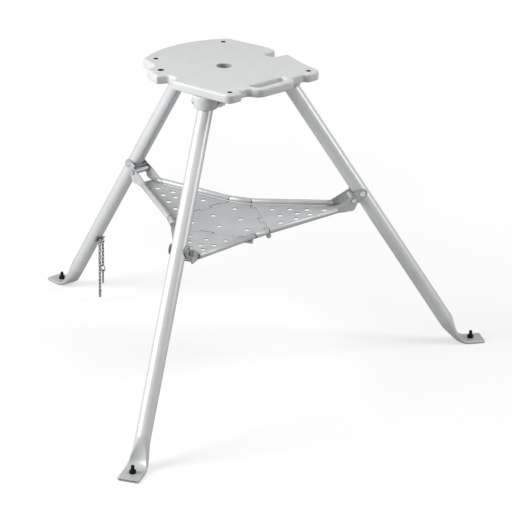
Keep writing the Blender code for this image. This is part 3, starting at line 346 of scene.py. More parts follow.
# Stage: each lamp's place to the right of, nearer than and above the stand, and its width
LAMPS = {"key": ((-2.45, 0.85, 1.4), 1.4), "top": ((0.0, -0.2, 3.2), 1.8),
         "strip": ((4.0, 0.4, 1.25), 0.8), "side": ((1.8, 0.1, 2.5), 1.2)}
FLOOR_DROP = 0.0002        # floor below the feet
FLOOR_SQUARES = 8
LIFT_SPAN = (0.7, 3.0)     # the floor's near lift ends and its far lift starts, from the stand's axis


def linear(code):
    """Linear colour of an sRGB hex code."""
    parts = [int(code[k:k + 2], 16) / 255 for k in (1, 3, 5)]
    return (*[p / 12.92 if p <= 0.04045 else ((p + 0.055) / 1.055) ** 2.4 for p in parts], 1.0)


def add_node(tree, kind, inputs=None, **settings):
    """Add a node with its settings, values and links. A node as a value stands for its first output."""
    item = tree.nodes.new(kind)
    for key, value in settings.items():
        setattr(item, key, value)
    for socket, value in (inputs or {}).items():
        for entry in value if isinstance(value, list) else [value]:
            source = entry.outputs[0] if isinstance(entry, bpy.types.Node) else entry
            if isinstance(source, bpy.types.NodeSocket):
                tree.links.new(source, item.inputs[socket])
            else:
                item.inputs[socket].default_value = source
    return item


def turned(degrees, axis):
    """Turn about an axis."""
    return Matrix.Rotation(math.radians(degrees), 4, axis)


def moved(x, y, z):
    """Move along the axes."""
    return Matrix.Translation((x, y, z))


def stand_axis():
    """Point on the floor at the middle of the three leg bolts."""
    middle = sum((JOINTS["leg_fold_" + name] for name in LEGS), Vector()) / len(LEGS)
    return Vector((middle.x, middle.y, 0.0))


def joint_place(name, tilt=0.0):
    """Frame at a joint: X away from the stand's axis, raised by a tilt, and Y across."""
    out = JOINTS[name] - stand_axis()
    turn = Matrix.Rotation(math.atan2(out.y, out.x), 4, "Z")
    return Matrix.Translation(JOINTS[name]) @ turn @ Matrix.Rotation(-tilt, 4, "Y")


def leg_place(name):
    """Frame at a leg bolt."""
    return joint_place("leg_fold_" + name)


def leg_side(legs):
    """Turn of a leg's own axes in its frame: X down along the tube, Y inward, Z across."""
    down = Vector((math.sin(legs.splay), 0.0, -math.cos(legs.splay)))
    inward = Vector((-math.cos(legs.splay), 0.0, -math.sin(legs.splay)))
    return Matrix((down, inward, down.cross(inward))).transposed().to_4x4()


def skin(bm, rings, caps=True, loop=False):
    """Skin a row of closed rings of points: the ends get caps, or the last ring meets the first."""
    rows = [[bm.verts.new(point) for point in ring] for ring in rings]
    pairs = list(zip(rows, rows[1:]))
    if loop:
        pairs.append((rows[-1], rows[0]))
    for one, other in pairs:
        for k in range(len(one)):
            after = (k + 1) % len(one)
            bm.faces.new((one[k], one[after], other[after], other[k]))
    if caps and not loop:
        bm.faces.new(rows[0])
        bm.faces.new(rows[-1])
    return rows


def mark(bm, start, amount, count=None):
    """Mark the faces added since a number of them, all or a count, with an amount of painted shade."""
    layer = bm.faces.layers.float.get(PAINTED_SHADE_AND_WEAR) or bm.faces.layers.float.new(PAINTED_SHADE_AND_WEAR)
    for face in list(bm.faces)[start:None if count is None else start + count]:
        face[layer] = amount


def mark_bands(bm, bands):
    """Mark bands round a turned head, each a first band and a count of them, with painted shade."""
    for first, count in bands:
        mark(bm, first * ROUND_SIDES, PAINTED_SHADE["head"], count * ROUND_SIDES)


def fill(bm, loops):
    """Fill a flat face between rings of points: the first is its edge and the others are holes."""
    edges = [bm.edges.get((ring[k], ring[k - 1])) for ring in loops for k in range(len(ring))]
    bmesh.ops.triangle_fill(bm, use_beauty=True, use_dissolve=False, edges=edges)


def turns(count):
    """Angles evenly round a circle."""
    return [2 * math.pi * (k + 0.5) / count for k in range(count)]


def arc(x, y, radius, start, end, steps=EDGE_STEPS):
    """Points along an arc between two angles in degrees."""
    angles = [math.radians(start + (end - start) * k / steps) for k in range(steps + 1)]
    return [(x + radius * math.cos(a), y + radius * math.sin(a)) for a in angles]


def dome(radius, base, tall, degrees):
    """Profile of a domed end at angles up from its base."""
    return [(radius * math.cos(a), base + tall * math.sin(a)) for a in map(math.radians, degrees)]


def mirrored(half):
    """Profile of a pin from its upper half."""
    return [(r, -z) for r, z in half[::-1]] + half


def both_sides(inner, outer):
    """Lower and upper face of two cheeks, one on each side of the middle."""
    return (-outer, -inner), (inner, outer)


def circle(x, y, radius, count=ROUND_SIDES):
    """Points round a circle."""
    return [Vector((x + radius * math.cos(a), y + radius * math.sin(a))) for a in turns(count)]


def lathe(bm, profile, place, sides=ROUND_SIDES, loop=False):
    """Turn a profile of (radius, height) pairs about the Z axis of a place."""
    skin(bm, [[place @ Vector((r * math.cos(a), r * math.sin(a), z)) for a in turns(sides)]
              for r, z in profile], loop=loop)


def rounded(corners):
    """Closed outline through (x, y, radius) corners, each rounded to its radius."""
    points = []
    for i, (x, y, radius) in enumerate(corners):
        here = Vector((x, y))
        before = (Vector(corners[i - 1][:2]) - here).normalized()
        after = (Vector(corners[(i + 1) % len(corners)][:2]) - here).normalized()
        half = before.angle(after) / 2
        centre = here + (before + after).normalized() * radius / math.sin(half)
        start = here + before * radius / math.tan(half) - centre
        end = here + after * radius / math.tan(half) - centre
        sweep = math.atan2(start.cross(end), start.dot(end))
        step = 2 * math.acos(1 - min(ARC_ERROR / radius, ARC_COARSEST))
        steps = max(2, math.ceil(abs(sweep) / step))
        points += [centre + Matrix.Rotation(sweep * k / steps, 2) @ start for k in range(steps + 1)]
    return [p for i, p in enumerate(points) if (p - points[i - 1]).length > MERGE]


def rounded_box(x0, x1, y0, y1, radius):
    """Outline of a rectangle with rounded corners."""
    return rounded([(x0, y0, radius), (x1, y0, radius), (x1, y1, radius), (x0, y1, radius)])


def inset(outline, amount):
    """A counterclockwise outline moved inward by an amount."""
    result = []
    for i, here in enumerate(outline):
        before = (here - outline[i - 1]).normalized()
        after = (outline[(i + 1) % len(outline)] - here).normalized()
        side = Vector((-before.y - after.y, before.x + after.x)).normalized()
        result.append(here + side * (amount / side.dot(Vector((-before.y, before.x)))))
    return result


def rows_of(outline, profile, place):
    """Rings of an edge: the outline set in by each inset, at each height of a place."""
    return [[place @ Vector((p.x, p.y, z)) for p in inset(outline, amount)] for amount, z in profile]


def slab(bm, outline, low, high, edge, place):
    """Add a plate of a flat outline between two heights of a place, with rounded edges in painted shade."""
    profile = [(edge + HOLD, low)]
    profile += arc(edge, low + edge, edge, 270, 180)
    profile += arc(edge, high - edge, edge, 180, 90)
    profile.append((edge + HOLD, high))
    start = len(bm.faces)
    skin(bm, rows_of(outline, profile, place))
    # Painted shade on the slab's rounded edges and sides
    mark(bm, start + len(outline), PAINTED_SHADE["cut"], len(outline) * (len(profile) - 3))


def hull(points):
    """Counterclockwise outline round a set of flat points."""
    outline = [Vector(points[k]) for k in convex_hull_2d([tuple(p) for p in points])]
    twice = sum(p.cross(outline[k - 1]) for k, p in enumerate(outline))
    return outline if twice < 0 else outline[::-1]


def to_mesh(name, bm):
    """Mesh of closed shells with outward faces, smooth except at sharp edges."""
    bmesh.ops.recalc_face_normals(bm, faces=bm.faces)
    mesh = bpy.data.meshes.new(name)
    bm.to_mesh(mesh)
    bm.free()
    mesh.shade_smooth()
    mesh.set_sharp_from_angle(angle=SHARP_ANGLE)
    return mesh


def add_object(name, data):
    """Put a new object in the scene."""
    item = bpy.data.objects.new(name, data)
    bpy.context.scene.collection.objects.link(item)
    return item


def add_piece(name, shape, surface, body, slot, *nodes):
    """Add a piece, from a mesh or from a bmesh that it closes, that rides on a body for CAD nodes."""
    mesh = to_mesh(name, shape) if isinstance(shape, bmesh.types.BMesh) else shape
    mesh.materials.clear()
    mesh.materials.append(surface)
    item = add_object(name, mesh)
    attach(item, body)
    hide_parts(*nodes)


def new_tree(name, inputs):
    """Start a node tree with a geometry socket and named inputs, and return it with its inputs."""
    tree = bpy.data.node_groups.new(name, "GeometryNodeTree")
    tree.interface.new_socket("Geometry", in_out="INPUT", socket_type="NodeSocketGeometry")
    for label, kind in inputs.items():
        tree.interface.new_socket(label, in_out="INPUT", socket_type="NodeSocket" + kind)
    tree.interface.new_socket("Geometry", in_out="OUTPUT", socket_type="NodeSocketGeometry")
    return tree, add_node(tree, "NodeGroupInput").outputs


def end_tree(tree, shape, surface):
    """Finish a tree: real geometry with its material."""
    real = add_node(tree, "GeometryNodeRealizeInstances", {"Geometry": shape})
    dressed = add_node(tree, "GeometryNodeSetMaterial", {"Geometry": real, "Material": surface})
    add_node(tree, "NodeGroupOutput", {"Geometry": dressed})
    return tree


def grown(tree, start, values):
    """Plain mesh that a tree makes from a starting mesh and values for its named inputs."""
    holder = add_object(tree.name, start)
    step = holder.modifiers.new(tree.name, "NODES")
    step.node_group = tree
    for entry in tree.interface.items_tree:
        if entry.in_out == "INPUT" and entry.name in values:
            step[entry.identifier] = values[entry.name]
    graph = bpy.context.evaluated_depsgraph_get()
    mesh = bpy.data.meshes.new_from_object(holder.evaluated_get(graph), depsgraph=graph)
    bpy.data.objects.remove(holder)
    if not mesh.polygons:
        raise RuntimeError("the tree %s made no faces" % tree.name)
    return mesh


def punched_sheet_tree():
    """Sheet cut to the start's closed outline, with a round hole at each of its loose points."""
    tree, given = new_tree("punched_sheet", {"Thickness": "Float", "Hole Radius": "Float",
                                             "Hole Sides": "Int", "Material": "Material"})
    start = given["Geometry"]
    edge = add_node(tree, "GeometryNodeMeshToCurve", {"Mesh": start})
    near = add_node(tree, "GeometryNodeInputMeshVertexNeighbors").outputs["Vertex Count"]
    alone = add_node(tree, "FunctionNodeCompare", {"A": near, "B": 0}, data_type="INT", operation="EQUAL")
    spots = add_node(tree, "GeometryNodeMeshToPoints", {"Mesh": start, "Selection": alone})
    ring = add_node(tree, "GeometryNodeCurvePrimitiveCircle", {"Resolution": given["Hole Sides"],
                                                               "Radius": given["Hole Radius"]})
    rings = add_node(tree, "GeometryNodeInstanceOnPoints", {"Points": spots, "Instance": ring})
    real = add_node(tree, "GeometryNodeRealizeInstances", {"Geometry": rings})
    lines = add_node(tree, "GeometryNodeJoinGeometry", {"Geometry": [real, edge]})
    face = add_node(tree, "GeometryNodeFillCurve", {"Curve": lines})
    under = add_node(tree, "GeometryNodeFlipFaces", {"Mesh": face})
    raised = add_node(tree, "GeometryNodeExtrudeMesh", {"Mesh": face, "Individual": False,
                                                        "Offset Scale": given["Thickness"]})
    # Painted shade on the hole walls and the sheet's cut edges
    cut = add_node(tree, "GeometryNodeStoreNamedAttribute", {
        "Geometry": raised, "Selection": raised.outputs["Side"], "Name": PAINTED_SHADE_AND_WEAR, "Value": PAINTED_SHADE["punched"]},
        data_type="FLOAT", domain="FACE")
    both = add_node(tree, "GeometryNodeJoinGeometry", {"Geometry": [cut, under]})
    whole = add_node(tree, "GeometryNodeMergeByDistance", {"Geometry": both, "Distance": MERGE})
    return end_tree(tree, whole, given["Material"])


def link_run_tree():
    """Run of oval links down a line, each a quarter turn from the last."""
    tree, given = new_tree("link_run", {"Count": "Int", "Pitch": "Float", "Wire": "Float", "Width": "Float",
                                        "Length": "Float", "First Turn": "Float", "Material": "Material"})
    step = add_node(tree, "ShaderNodeMath", {0: given["Pitch"], 1: -1.0}, operation="MULTIPLY")
    down = add_node(tree, "ShaderNodeCombineXYZ", {"Z": step})
    line = add_node(tree, "GeometryNodeMeshLine", {"Count": given["Count"], "Offset": down})
    oval = add_node(tree, "GeometryNodeCurvePrimitiveQuadrilateral", {"Width": given["Width"],
                                                                      "Height": given["Length"]})
    end = add_node(tree, "ShaderNodeMath", {0: given["Width"], 1: LINK_CORNER}, operation="MULTIPLY")
    path = add_node(tree, "GeometryNodeFilletCurve", {"Curve": oval, "Count": LINK_STEPS, "Radius": end},
                    mode="POLY")
    wire = add_node(tree, "GeometryNodeCurvePrimitiveCircle", {"Resolution": WIRE_SIDES,
                                                               "Radius": given["Wire"]})
    link = add_node(tree, "GeometryNodeCurveToMesh", {"Curve": path, "Profile Curve": wire})
    index = add_node(tree, "GeometryNodeInputIndex")
    odd = add_node(tree, "ShaderNodeMath", {0: index, 1: 2.0}, operation="MODULO")
    quarter = add_node(tree, "ShaderNodeMath", {0: odd, 1: math.pi / 2, 2: given["First Turn"]},
                       operation="MULTIPLY_ADD")
    turn = add_node(tree, "ShaderNodeCombineXYZ", {"X": math.pi / 2, "Z": quarter})
    way = add_node(tree, "FunctionNodeEulerToRotation", {"Euler": turn})
    run = add_node(tree, "GeometryNodeInstanceOnPoints", {"Points": line, "Instance": link, "Rotation": way})
    return end_tree(tree, run, given["Material"])


def set_out_tree():
    """One fixing set out at every point of the start, turned by the point's own turn."""
    tree, given = new_tree("set_out", {"Fixing": "Object", "Size": "Float", "Material": "Material"})
    spots = add_node(tree, "GeometryNodeMeshToPoints", {"Mesh": given["Geometry"]})
    shape = add_node(tree, "GeometryNodeObjectInfo", {"Object": given["Fixing"]}).outputs["Geometry"]
    turn = add_node(tree, "GeometryNodeInputNamedAttribute", {"Name": "turn"}, data_type="FLOAT_VECTOR")
    way = add_node(tree, "FunctionNodeEulerToRotation", {"Euler": turn})
    run = add_node(tree, "GeometryNodeInstanceOnPoints", {"Points": spots, "Instance": shape,
                                                          "Rotation": way, "Scale": given["Size"]})
    return end_tree(tree, run, given["Material"])


def set_out(name, bm, places, surface, body, slot, *nodes):
    """Add a piece that is one fixing repeated at places."""
    fixing = add_object("fixing", to_mesh("fixing", bm))
    start = bpy.data.meshes.new("places")
    start.from_pydata([place.translation for place in places], [], [])
    turn = start.attributes.new("turn", "FLOAT_VECTOR", "POINT")
    for spot, place in zip(turn.data, places):
        spot.vector = place.to_euler()
    mesh = grown(TREES["set_out"], start, {"Fixing": fixing, "Size": 1.0, "Material": surface})
    bpy.data.objects.remove(fixing)
    add_piece(name, mesh, surface, body, slot, *nodes)


def punched_sheet(outline, spots, sizes, surface, place):
    """Open bmesh of a sheet with round holes, in the XY plane of a place from the sheet's underside up."""
    start = bpy.data.meshes.new("outline")
    count = len(outline)
    points = [(p[0], p[1], 0.0) for p in [*outline, *spots]]
    start.from_pydata(points, [(k, (k + 1) % count) for k in range(count)], [])
    sheet = grown(TREES["punched_sheet"], start, {
        "Thickness": sizes.sheet, "Hole Radius": sizes.hole, "Hole Sides": ROUND_SIDES, "Material": surface})
    sheet.transform(place @ moved(0.0, 0.0, sizes.rise))
    bm = bmesh.new()
    bm.from_mesh(sheet)
    return bm


def coat(name, light, dark, blotch, rough, grain, depth, metallic, turn=(0.0, 0.0, 0.0), stretch=1.0):
    """Material of mottled tones with a roughness range and a fine relief, drawn out along a turned Z axis."""
    surface = bpy.data.materials.new(name)
    surface.use_nodes = True
    tree = surface.node_tree
    shader = tree.nodes["Principled BSDF"]
    where = add_node(tree, "ShaderNodeTexCoord").outputs["Object"]
    lined = add_node(tree, "ShaderNodeMapping", {"Vector": where, "Rotation": turn})
    drawn = add_node(tree, "ShaderNodeMapping", {"Vector": lined, "Scale": (1.0, 1.0, 1 / stretch)})
    mottle = add_node(tree, "ShaderNodeTexNoise", {"Vector": where, "Scale": 1 / blotch,
                                                   "Detail": BLOTCH_DETAIL})
    fine = add_node(tree, "ShaderNodeTexNoise", {"Vector": drawn, "Scale": 1 / grain,
                                                 "Detail": GRAIN_DETAIL})
    both = add_node(tree, "ShaderNodeMath", {0: mottle, 1: fine}, operation="ADD")
    level = add_node(tree, "ShaderNodeMapRange", {"Value": both, "From Min": NOISE_SUM_BAND[0],
                                                  "From Max": NOISE_SUM_BAND[1]})
    paint = add_node(tree, "ShaderNodeMix", {"Factor": level, MIX_A: linear(dark), MIX_B: linear(light)},
                     data_type="RGBA")
    # Painted shade in bores, slits, gaps and on edges, and scuff wear on the feet, darken and roughen the
    # paint.
    shade_and_wear_mask = add_node(tree, "ShaderNodeAttribute", attribute_name=PAINTED_SHADE_AND_WEAR).outputs["Fac"]
    # Painted edge shade: the paint darkens where its face is seen edge on.
    facing = add_node(tree, "ShaderNodeLayerWeight").outputs["Facing"]
    edge = add_node(tree, "ShaderNodeMapRange", {"Value": facing, "From Min": PAINTED_EDGE_SHADE[0], "To Max": PAINTED_EDGE_SHADE[1]})
    darkening = add_node(tree, "ShaderNodeMath", {0: shade_and_wear_mask, 1: edge}, operation="MAXIMUM")
    shaded_paint = add_node(tree, "ShaderNodeMix", {"Factor": darkening, MIX_A: paint.outputs[MIX_OUT],
                                            MIX_B: linear(SHADE_AND_WEAR_TONE)}, data_type="RGBA")
    patchy = add_node(tree, "ShaderNodeMapRange", {"Value": fine, "From Min": NOISE_BAND[0],
                                                   "From Max": NOISE_BAND[1], "To Min": rough[0],
                                                   "To Max": rough[1]})
    dull = add_node(tree, "ShaderNodeMath", {0: shade_and_wear_mask, 1: SHADE_AND_WEAR_DULL, 2: patchy}, operation="MULTIPLY_ADD")
    relief = add_node(tree, "ShaderNodeBump", {"Height": fine, "Distance": depth, "Strength": 1.0})
    tree.links.new(shaded_paint.outputs[MIX_OUT], shader.inputs["Base Color"])
    tree.links.new(dull.outputs[0], shader.inputs["Roughness"])
    tree.links.new(relief.outputs[0], shader.inputs["Normal"])
    shader.inputs["Metallic"].default_value = metallic
    shader.inputs["Specular IOR Level"].default_value = EDGE_SHINE
    shader.inputs["Specular Tint"].default_value = linear(EDGE_TINT)
    return surface


def upright_turn(way):
    """Turn that brings a direction upright, so that a coat's stretch follows it."""
    return way.rotation_difference(Vector((0.0, 0.0, 1.0))).to_euler()


def cast_paint(sizes):
    """Silver paint over sand-cast metal: pale, soft in its shine, with the pebbled skin of the sand.

    The sand's grit of about 0.4 mm is drawn at 1.6 mm, so that it shows.
    """
    return coat("silver_paint_on_sand_casting", sizes.light, sizes.dark, blotch=0.03, rough=(0.45, 0.6),
                grain=0.0016, depth=0.00003, metallic=0.12)


def tube_enamel(sizes, name):
    """Silver enamel on drawn tube: smooth, with faint lines along the tube that it was drawn in.

    The lines of about 0.2 mm are drawn at 1 mm, so that they show.
    """
    along = (leg_place(name) @ leg_side(sizes)).to_quaternion() @ Vector((1.0, 0.0, 0.0))
    return coat("silver_enamel_on_drawn_tube_" + name, sizes.light, sizes.dark, blotch=0.05,
                rough=(0.32, 0.38), grain=0.0010, depth=0.000001, metallic=0.32, turn=upright_turn(along),
                stretch=60.0)


def sheet_enamel(sizes, name, turn):
    """Silver enamel on rolled sheet: a satin face with faint rolling lines along it.

    The lines of about 0.5 mm are drawn at 2.5 mm, so that they show.
    """
    along = Vector((math.cos(turn), math.sin(turn), 0.0))
    return coat("silver_enamel_on_rolled_sheet_" + name, sizes.light, sizes.dark, blotch=0.04,
                rough=(0.32, 0.42), grain=0.0025, depth=0.000008, metallic=0.28, turn=upright_turn(along),
                stretch=30.0)


def zinc_plate(sizes):
    """Bright zinc plate on steel: a clear grey mirror, blurred by its crystals of about 1 mm."""
    return coat("bright_zinc_plate", sizes.zinc_light, sizes.zinc_dark, blotch=0.004, rough=(0.22, 0.4),
                grain=0.0012, depth=0.00002, metallic=1.0)


def dull_zinc(sizes):
    """Dull zinc plate on chain: greyer than on the rivets, with dark grime between the bright wear."""
    return coat("dull_zinc_chain", sizes.light, sizes.dark, blotch=0.004, rough=(0.2, 0.35), grain=0.0012,
                depth=0.00002, metallic=1.0)


def black_oxide(sizes):
    """Black oxide on steel: near black with a dull oily shine and the blur of a 1 mm grain."""
    return coat("black_oxide_steel", sizes.black_light, sizes.black_dark, blotch=0.004, rough=(0.35, 0.55),
                grain=0.001, depth=0.00003, metallic=0.3)


def plate_corners(bolt_circle):
    """Corners of the plate's edge with their radii, from the front right lobe round to the left."""
    waist = bolt_circle + WAIST_PAST
    front = bolt_circle + FRONT_PAST
    bar_left = HANDLE_MIDDLE - HANDLE_HALF
    bar_right = HANDLE_MIDDLE + HANDLE_HALF
    right_place, right_half, right_depth = NOTCH_RIGHT
    left_place, left_half, left_depth = NOTCH_LEFT
    lip_back, lip_front, lip_inset = NOTCH_FLARE
    right_round = right_half * NOTCH_ROUND[0]
    left_round = left_half * NOTCH_ROUND[1]
    right = waist - right_depth
    left = -waist + left_depth
    ear_top = bolt_circle - EAR_TOP
    step_out, step_in = STEP_ROUND
    apex = Vector((BACK_APEX[0], bolt_circle + BACK_APEX[1]))
    back_right = Vector((bolt_circle + BACK_RIGHT[0], bolt_circle + BACK_RIGHT[1]))
    back_left = Vector((-BACK_LEFT[0], front))
    room = min((back_right - apex).length, (back_left - apex).length)
    back_arc = BACK_FIT * room * math.tan((back_right - apex).angle(back_left - apex) / 2)
    return [
        (bolt_circle, -front, LOBE_ROUND),
        (bolt_circle + SIDE_HOLLOW[0], *SIDE_HOLLOW[1:]),
        (waist, right_place - right_half, LIP_ROUND),
        (right, right_place - right_half, right_round),
        (right, right_place + right_half, right_round),
        (waist, right_place + right_half, LIP_ROUND),
        (waist, *SHOULDER),
        (*back_right, BACK_RIGHT[2]),
        (*apex, back_arc),
        (*back_left, BACK_LEFT[1]),
        (-EAR_STEP[0], ear_top + EAR_STEP[1], EAR_STEP[2]),
        (-bolt_circle - EAR_END[0], ear_top, EAR_END[1]),
        (-waist, left_place + left_half + lip_back, LIP_ROUND),
        (left, left_place + left_half, left_round),
        (left, left_place - left_half, left_round),
        (-waist + lip_inset, left_place - left_half - lip_front, LIP_ROUND),
        (-bolt_circle + LOBE_INSET, -front, LOBE_ROUND),
        (-LOBE_LEFT[0], -front, step_out),
        (-LOBE_LEFT[1], -front + SCALLOP[0], step_in),
        (bar_left - HANDLE_FLARE[0], -front + SCALLOP[0], SCALLOP_ROUND),
        (bar_left, -front - HANDLE_PAST, HANDLE_ROUND),
        (bar_right, -front - HANDLE_PAST, HANDLE_ROUND),
        (bar_right + HANDLE_FLARE[1], -front + SCALLOP[1], SCALLOP_ROUND),
        (LOBE_RIGHT[1], -front + SCALLOP[1], step_in),
        (LOBE_RIGHT[0], -front, step_out),
    ]


def slot_corners(bolt_circle):
    """Corners of the handle's finger slot with their radii."""
    near = -bolt_circle - FRONT_PAST - HANDLE_PAST + HANDLE_BAR
    far = near + HANDLE_SLOT
    left = HANDLE_MIDDLE - HANDLE_HALF
    right = HANDLE_MIDDLE + HANDLE_HALF
    return [(left + SLOT_TAPER, near, SLOT_ROUND), (right - SLOT_TAPER, near, SLOT_ROUND),
            (right, far, SLOT_ROUND), (left, far, SLOT_ROUND)]


def edge_profile(edge, lower, low, high):
    """Inset and height of a plate's rounded edge, from its upper face round to its lower face."""
    profile = [(edge + HOLD, high)] + arc(edge, high - edge, edge, 90, 180, EDGE_STEPS * 2)
    return profile + arc(lower, low + lower, lower, 180, 270) + [(lower + HOLD, low)]


def add_hood(bm, sizes, legs, drop, place):
    """Add a hood under the plate: a round-ended wall about the space that a leg's head turns in."""
    roof = drop - sizes.depth
    rim = -sizes.hood_drop
    room = (legs.radius + SEAT) / math.cos(legs.splay)
    half = legs.radius + HOOD_PLAY
    lean = sizes.hood_lean
    outer = [(sizes.hood_radius + lean - x, z) for x, z in arc(lean, roof - lean, lean, 90, 180)]
    outer += arc(sizes.hood_radius - sizes.hood_edge, rim + sizes.hood_edge, sizes.hood_edge, 0, -90)
    rings = []
    for radius, z in outer:
        rings.append([place @ Vector((radius * math.cos(a) + math.copysign(sizes.hood_stretch, math.cos(a)),
                                      radius * math.sin(a), z)) for a in turns(TUBE_SIDES)])
    stretch = (room - half) / room
    for z in [rim, rim / 2, 0.0] + [room * math.sin(math.radians(a)) for a in HOOD_CEILING]:
        reach = math.sqrt(room * room - max(z, 0.0) ** 2)
        low, high = -reach, reach + max(-z, 0.0) * math.tan(legs.splay)
        ring = []
        for a in turns(TUBE_SIDES):
            unit = (1 - stretch) * math.cos(a) + math.copysign(stretch, math.cos(a))
            x = (low + high) / 2 + (high - low) / 2 * unit
            ring.append(place @ Vector((x, half * math.sin(a), z)))
        rings.append(ring)
    skin(bm, rings)


class STAND_OT_plate(Operator):
    """Build the cast plate with its handle, holes, hollow underside and three leg hoods"""
    bl_idname = "stand.plate"
    bl_label = "Build Plate"

    def execute(self, context):
        sizes = context.scene.stand_plate
        axis = stand_axis()
        bolt = JOINTS["leg_fold_rear"]
        bolt_circle = (bolt - axis).to_2d().length
        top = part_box("top_plate")[1].z
        low = top - sizes.depth
        place = Matrix.Translation(axis)
        bm = bmesh.new()

        def wall(outline, profile):
            """Add a wall round an outline and return its first and last row of points."""
            rows = skin(bm, rows_of(outline, profile, place), caps=False)
            return rows[0], rows[-1]

        skirt = edge_profile(sizes.edge, sizes.lower_edge, low, top)
        slot = [(-x, z) for x, z in edge_profile(sizes.slot_edge, sizes.slot_edge, low, top)]
        walls = [wall(rounded(plate_corners(bolt_circle)), skirt),
                 wall(rounded(slot_corners(bolt_circle)), slot)]
        start = len(bm.faces)
        bore = [(-sizes.chamfer, top), (0.0, top - sizes.chamfer), (0.0, low + sizes.chamfer),
                (-sizes.chamfer, low)]
        walls += [wall(circle(x, y, radius, TUBE_SIDES), bore) for x, y, radius in ROUND_HOLES]
        # Painted shade inside the holes, with less of it in the centre hole
        mark(bm, start, PAINTED_SHADE["hole"])
        mark(bm, len(bm.faces) - (len(bore) - 1) * TUBE_SIDES, PAINTED_SHADE["centre_hole"])
        soft = sizes.pocket_draft * POCKET_SOFT
        shoulder = top - sizes.skin - soft
        hollow = [(0.0, low)] + arc(sizes.pocket_draft + soft, shoulder, soft, 180, 90)
        mouths = []
        for box in POCKETS:
            mouth, ceiling = wall(rounded_box(*box, sizes.pocket_round), hollow)
            bm.faces.new(ceiling)
            mouths.append(mouth)
        fill(bm, [upper for upper, lower in walls])
        fill(bm, [lower for upper, lower in walls] + mouths)
        for name in LEGS:
            add_hood(bm, sizes, context.scene.stand_leg, top - bolt.z, leg_place(name))
        add_piece("plate_casting", bm, cast_paint(sizes), "plate", "cast_plate", "top_plate")
        return {"FINISHED"}


def tube_section(sizes, centre, tilt, half, narrow=0.0, dent=0.0, inside=0.0):
    """Ring round a tube that keeps its girth as it flattens, with its upper side pressed in by a dent."""
    flat = math.pi * (sizes.radius - half) / 2 - narrow
    reach = half - inside
    wide = flat + reach
    ring = []
    for a in turns(TUBE_SIDES):
        across = reach * math.cos(a) + math.copysign(flat, math.cos(a))
        thick = reach * math.sin(a)
        if thick > 0:
            thick -= dent * (1 - (across / wide) ** 2) * math.sin(a)
        ring.append(centre + Vector((thick * math.cos(tilt), across, thick * math.sin(tilt))))
    return ring


def leg_rings(sizes, drop, tip):
    """Rings down a leg in its own frame, from inside its head to inside the slit at its tip."""
    splay = sizes.splay
    down = Vector((math.sin(splay), 0.0, -math.cos(splay)))
    foot_half = sizes.wall + sizes.slit / 2
    turn = math.pi / 2 - splay
    level = (drop - foot_half) / math.cos(splay) - sizes.bend * math.tan(turn / 2)
    middle = down * level + sizes.bend * Vector((math.cos(splay), 0.0, math.sin(splay)))
    head = HEAD_SET - sizes.radius * math.tan(splay)
    soft = sizes.wall * MOUTH_ROUND
    bore = sizes.radius - sizes.wall
    mouth = [(bore, BORE_SHOWN)] + arc(bore + soft, soft, soft, 180, 270)
    mouth += arc(sizes.radius - soft, soft, soft, 270, 360)
    rings = [tube_section(sizes, down * (head + z), splay, sizes.radius, inside=sizes.radius - x)
             for x, z in mouth]
    for k in range(FLATTEN_STEPS + 1):
        part = k / FLATTEN_STEPS
        ease = part * part * (3 - 2 * part)
        half = sizes.radius + (foot_half - sizes.radius) * ease
        past = sizes.bend * turn - sizes.flatten * (1 - part)
        tilt = splay + max(past, 0.0) / sizes.bend
        centre = middle - sizes.bend * Vector((math.cos(tilt), 0.0, math.sin(tilt)))
        if past <= 0:
            centre = down * (level + past)
        dent = sizes.scoop * max(0.0, 4 * ease * (1 - ease)) ** SCOOP_POWER
        rings.append(tube_section(sizes, centre, tilt, half, dent=dent))

    def foot_ring(reach, narrow, inside=0.0):
        """Ring across the level foot at a distance from the leg bolt."""
        centre = Vector((reach, 0.0, foot_half - drop))
        return tube_section(sizes, centre, math.pi / 2, foot_half, narrow, inside=inside)

    for x, y in arc(0.0, 0.0, sizes.tip_round, 0, 90, EDGE_STEPS * 2):
        rings.append(foot_ring(tip - sizes.tip_edge - sizes.tip_round + y, sizes.tip_round - x))
    for x, y in arc(0.0, 0.0, sizes.tip_edge, 0, 90)[1:]:
        rings.append(foot_ring(tip - sizes.tip_edge + y, sizes.tip_round, sizes.tip_edge - x))
    for back in (0.0, SLIT_SHOWN):
        rings.append(foot_ring(tip - back, sizes.tip_round, foot_half - sizes.slit))
    return rings


class STAND_OT_legs(Operator):
    """Build the three leg tubes with their pressed feet"""
    bl_idname = "stand.legs"
    bl_label = "Build Legs"

    def execute(self, context):
        sizes = context.scene.stand_leg
        bolt = JOINTS["leg_fold_rear"]
        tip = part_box("leg_rear")[1].y - bolt.y
        worst, none, most = SCUFF
        for name in LEGS:
            bm = bmesh.new()
            place = leg_place(name)
            rows = skin(bm, [[place @ point for point in ring] for ring in leg_rings(sizes, bolt.z, tip)])
            inside = set(rows[0] + rows[-1])
            layer = bm.faces.layers.float.new(PAINTED_SHADE_AND_WEAR)
            # Painted shade inside the tube's open head and its slit; scuff wear on the feet, darker towards
            # the floor
            for face in bm.faces:
                low = (none - face.calc_center_median().z) / (none - worst)
                hidden = not inside.isdisjoint(face.verts)
                face[layer] = PAINTED_SHADE["hole"] if hidden else most * min(max(low, 0.0), 1.0)
            add_piece("tube_" + name, bm, tube_enamel(sizes, name), "leg_" + name, "leg_tube", "leg_" + name)
        return {"FINISHED"}


